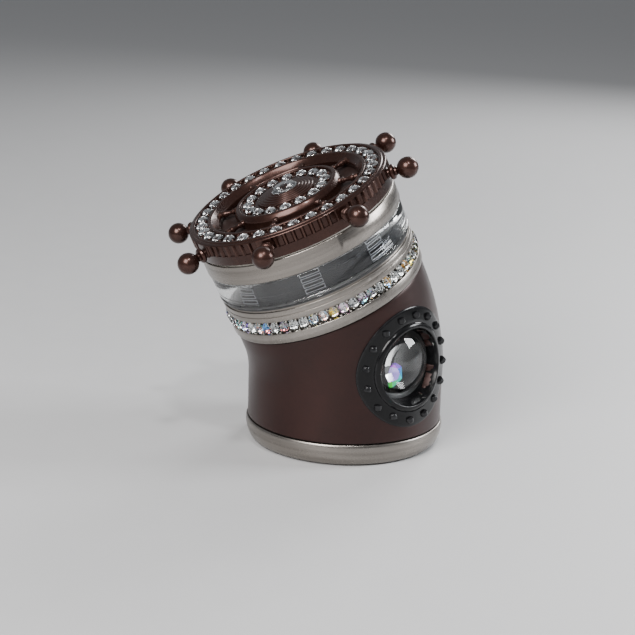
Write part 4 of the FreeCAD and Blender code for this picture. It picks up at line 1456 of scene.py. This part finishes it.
    def gem(self) -> Mesh:
        """Builds the bright crystal, its facets in the colours of a spectrum.

        Returns:
            The mesh, in millimetres in its axis's frame.
        """
        back = self.bench.frames[Axis.PORT].inverted()
        points = [back @ v.co for v in frame["nodes"]["porthole_gem"].data.vertices]
        (left, right), (down, up), (low, high) = ((min(row), max(row)) for row in zip(*points))
        shape = Cut((right - left) / 2, high - low, girdle=0.45, table=0.42, sides=8).build()
        paint(shape, self.spectrum)
        shape.transform(Matrix.Translation(((left + right) / 2, (down + up) / 2, low)))
        return shape

    @staticmethod
    def spectrum(face: bmesh.types.BMFace) -> Color:
        """Picks a facet's colour, which follows its direction round the gem; the table's is paler.

        Args:
            face: The facet.

        Returns:
            The colour.
        """
        centre = face.calc_center_median()
        colour = Color()
        colour.hsv = ((math.atan2(centre.y, centre.x) / math.tau + 0.58) % 1.0,
                      0.65 if face.normal.z > 0.98 else 1.0, 1.0)
        return colour

    def dress(self) -> None:
        """Builds and places every piece of the porthole."""
        finish, axis, case, black = self.bench.finish, Axis.PORT, Body.CASE, [GLOSS_BLACK]
        finish("plate_bevelled", self.plate(), axis, black, case, "gloss_black", ["porthole_plate"])
        finish("rivet_studs", self.rivet_ring(), axis, black, case, "gloss_black", ["porthole_rivets"])
        finish("bezel_turned", self.bezel(), axis, black, case, "gloss_black", ["porthole_bezel"])
        finish("lens_dome", self.lens(), axis, [GLASS], case, "clear_glass", ["porthole_lens"])
        finish("cup_ringed", self.cup(), axis, [CUP_BLACK], case, "dark_alloy", ["lens_cup"])
        finish("spectrum_gem", self.gem(), axis, [SPECTRUM, AURORA_FOIL], case, "dichroic",
               ["porthole_gem"], 0)


# ---------------------------------------------------------------- stage
@dataclass
class Studio:
    """Pale floor, soft lights and the camera."""

    target: Place = (-0.00680, 0.00301, 0.03066)
    azimuth: float = -23.87
    elevation: float = 15.01
    roll: float = 1.74
    distance: float = 0.3768
    lens: float = 85.04
    lights: Sequence[tuple[str, Place, float, float, Colour]] = (      # name, place, size, power and colour
        ("key_softbox", (-0.42, -0.30, 0.42), 0.34, 6.0, (1.0, 0.98, 0.96)),
        ("side_softbox", (0.48, -0.16, 0.26), 0.20, 3.2, (0.96, 0.98, 1.0)),
        ("back_softbox", (0.55, 0.42, 0.40), 0.30, 3.6, (1.0, 1.0, 1.0)),
        ("spark_light", (-0.10, -0.35, 0.62), 0.05, 1.6, (1.0, 1.0, 1.0)),
    )

    def floor(self) -> None:
        """Adds the pale floor."""
        shape = bmesh.new()
        bmesh.ops.create_grid(shape, x_segments=4, y_segments=4, size=8.0)
        mesh = bpy.data.meshes.new("studio_floor")
        shape.to_mesh(mesh)
        shape.free()
        mesh.materials.append(PALE_FLOOR.material())
        floor = bpy.data.objects.new("studio_floor", mesh)
        bpy.context.scene.collection.objects.link(floor)

    def light(self) -> None:
        """Adds the soft lights and an even pale surround."""
        for name, place, size, power, colour in self.lights:
            data = bpy.data.lights.new(name, "AREA")
            data.shape, data.size, data.energy, data.color = "SQUARE", size, power, colour
            lamp = bpy.data.objects.new(name, data)
            lamp.location = place
            lamp.rotation_euler = (Vector(self.target) - Vector(place)).to_track_quat("-Z", "Y").to_euler()
            bpy.context.scene.collection.objects.link(lamp)
        world = bpy.data.worlds.new("studio_surround")
        world.use_nodes = True
        background = world.node_tree.nodes["Background"]
        background.inputs["Color"].default_value = (0.80, 0.82, 0.85, 1.0)
        background.inputs["Strength"].default_value = 0.31
        bpy.context.scene.world = world

    def camera(self) -> None:
        """Adds the camera."""
        side, rise, roll = (math.radians(a) for a in (self.azimuth, self.elevation, self.roll))
        forward = Vector((-math.sin(side) * math.cos(rise), math.cos(side) * math.cos(rise), -math.sin(rise)))
        level = Vector((math.cos(side), math.sin(side), 0.0))
        upward = level.cross(forward)
        right = level * math.cos(roll) + upward * math.sin(roll)
        up = upward * math.cos(roll) - level * math.sin(roll)
        data = bpy.data.cameras.new("main_camera")
        data.lens, data.sensor_width, data.clip_start, data.clip_end = self.lens, 36.0, 0.01, 10.0
        camera = bpy.data.objects.new("main_camera", data)
        place = Vector(self.target) - forward * self.distance
        camera.matrix_world = Matrix.Translation(place) @ Matrix((right, up, -forward)).transposed().to_4x4()
        bpy.context.scene.collection.objects.link(camera)
        bpy.context.scene.camera = camera

    def dress(self) -> None:
        """Sets the stage."""
        self.camera()
        self.floor()
        self.light()


PLAIN_PARTS: Sequence[tuple[str, Sequence[Finish], str]] = (      # slot, finishes and the parts with them
    ("seal_rubber", [RUBBER], "base_seal mouth_seal bowl_gasket glass_gasket lens_gasket"),
    ("dark_alloy", [DARK_ALLOY], "sifter_sleeve"),
    ("bowl_alloy", [ALLOY], "sieve_frame bowl_teeth lid_teeth"),
    ("bowl_alloy", [ALLOY, WELL_BROWN], "lid_plate"),
    ("mesh", [ALLOY], "sieve_mesh"),
    ("nickel", [BOWL_NICKEL], "grind_bowl"),
    ("magnet", [MAGNET], "bowl_magnet lid_magnet"),
    ("glide_nylon", [NYLON], "glide_ring"),
    ("screw", [ALLOY], "lid_screws"),
)


def main() -> None:
    """Builds the stage and every sub-assembly."""
    logging.basicConfig(level=logging.INFO, format="%(name)s %(message)s")
    bench = Bench()
    Studio().dress()
    Case(bench).dress()
    Porthole(bench).dress()
    Head(bench).dress()
    owner = {node: body for body, nodes in frame["record"]["behaviour"]["bodies"].items() for node in nodes}
    for slot, finishes, nodes in PLAIN_PARTS:
        for node in nodes.split():
            Plain(bench, node, owner[node], slot, finishes).dress()
    Wheel(bench).dress()


if __name__ == "__main__":
    main()
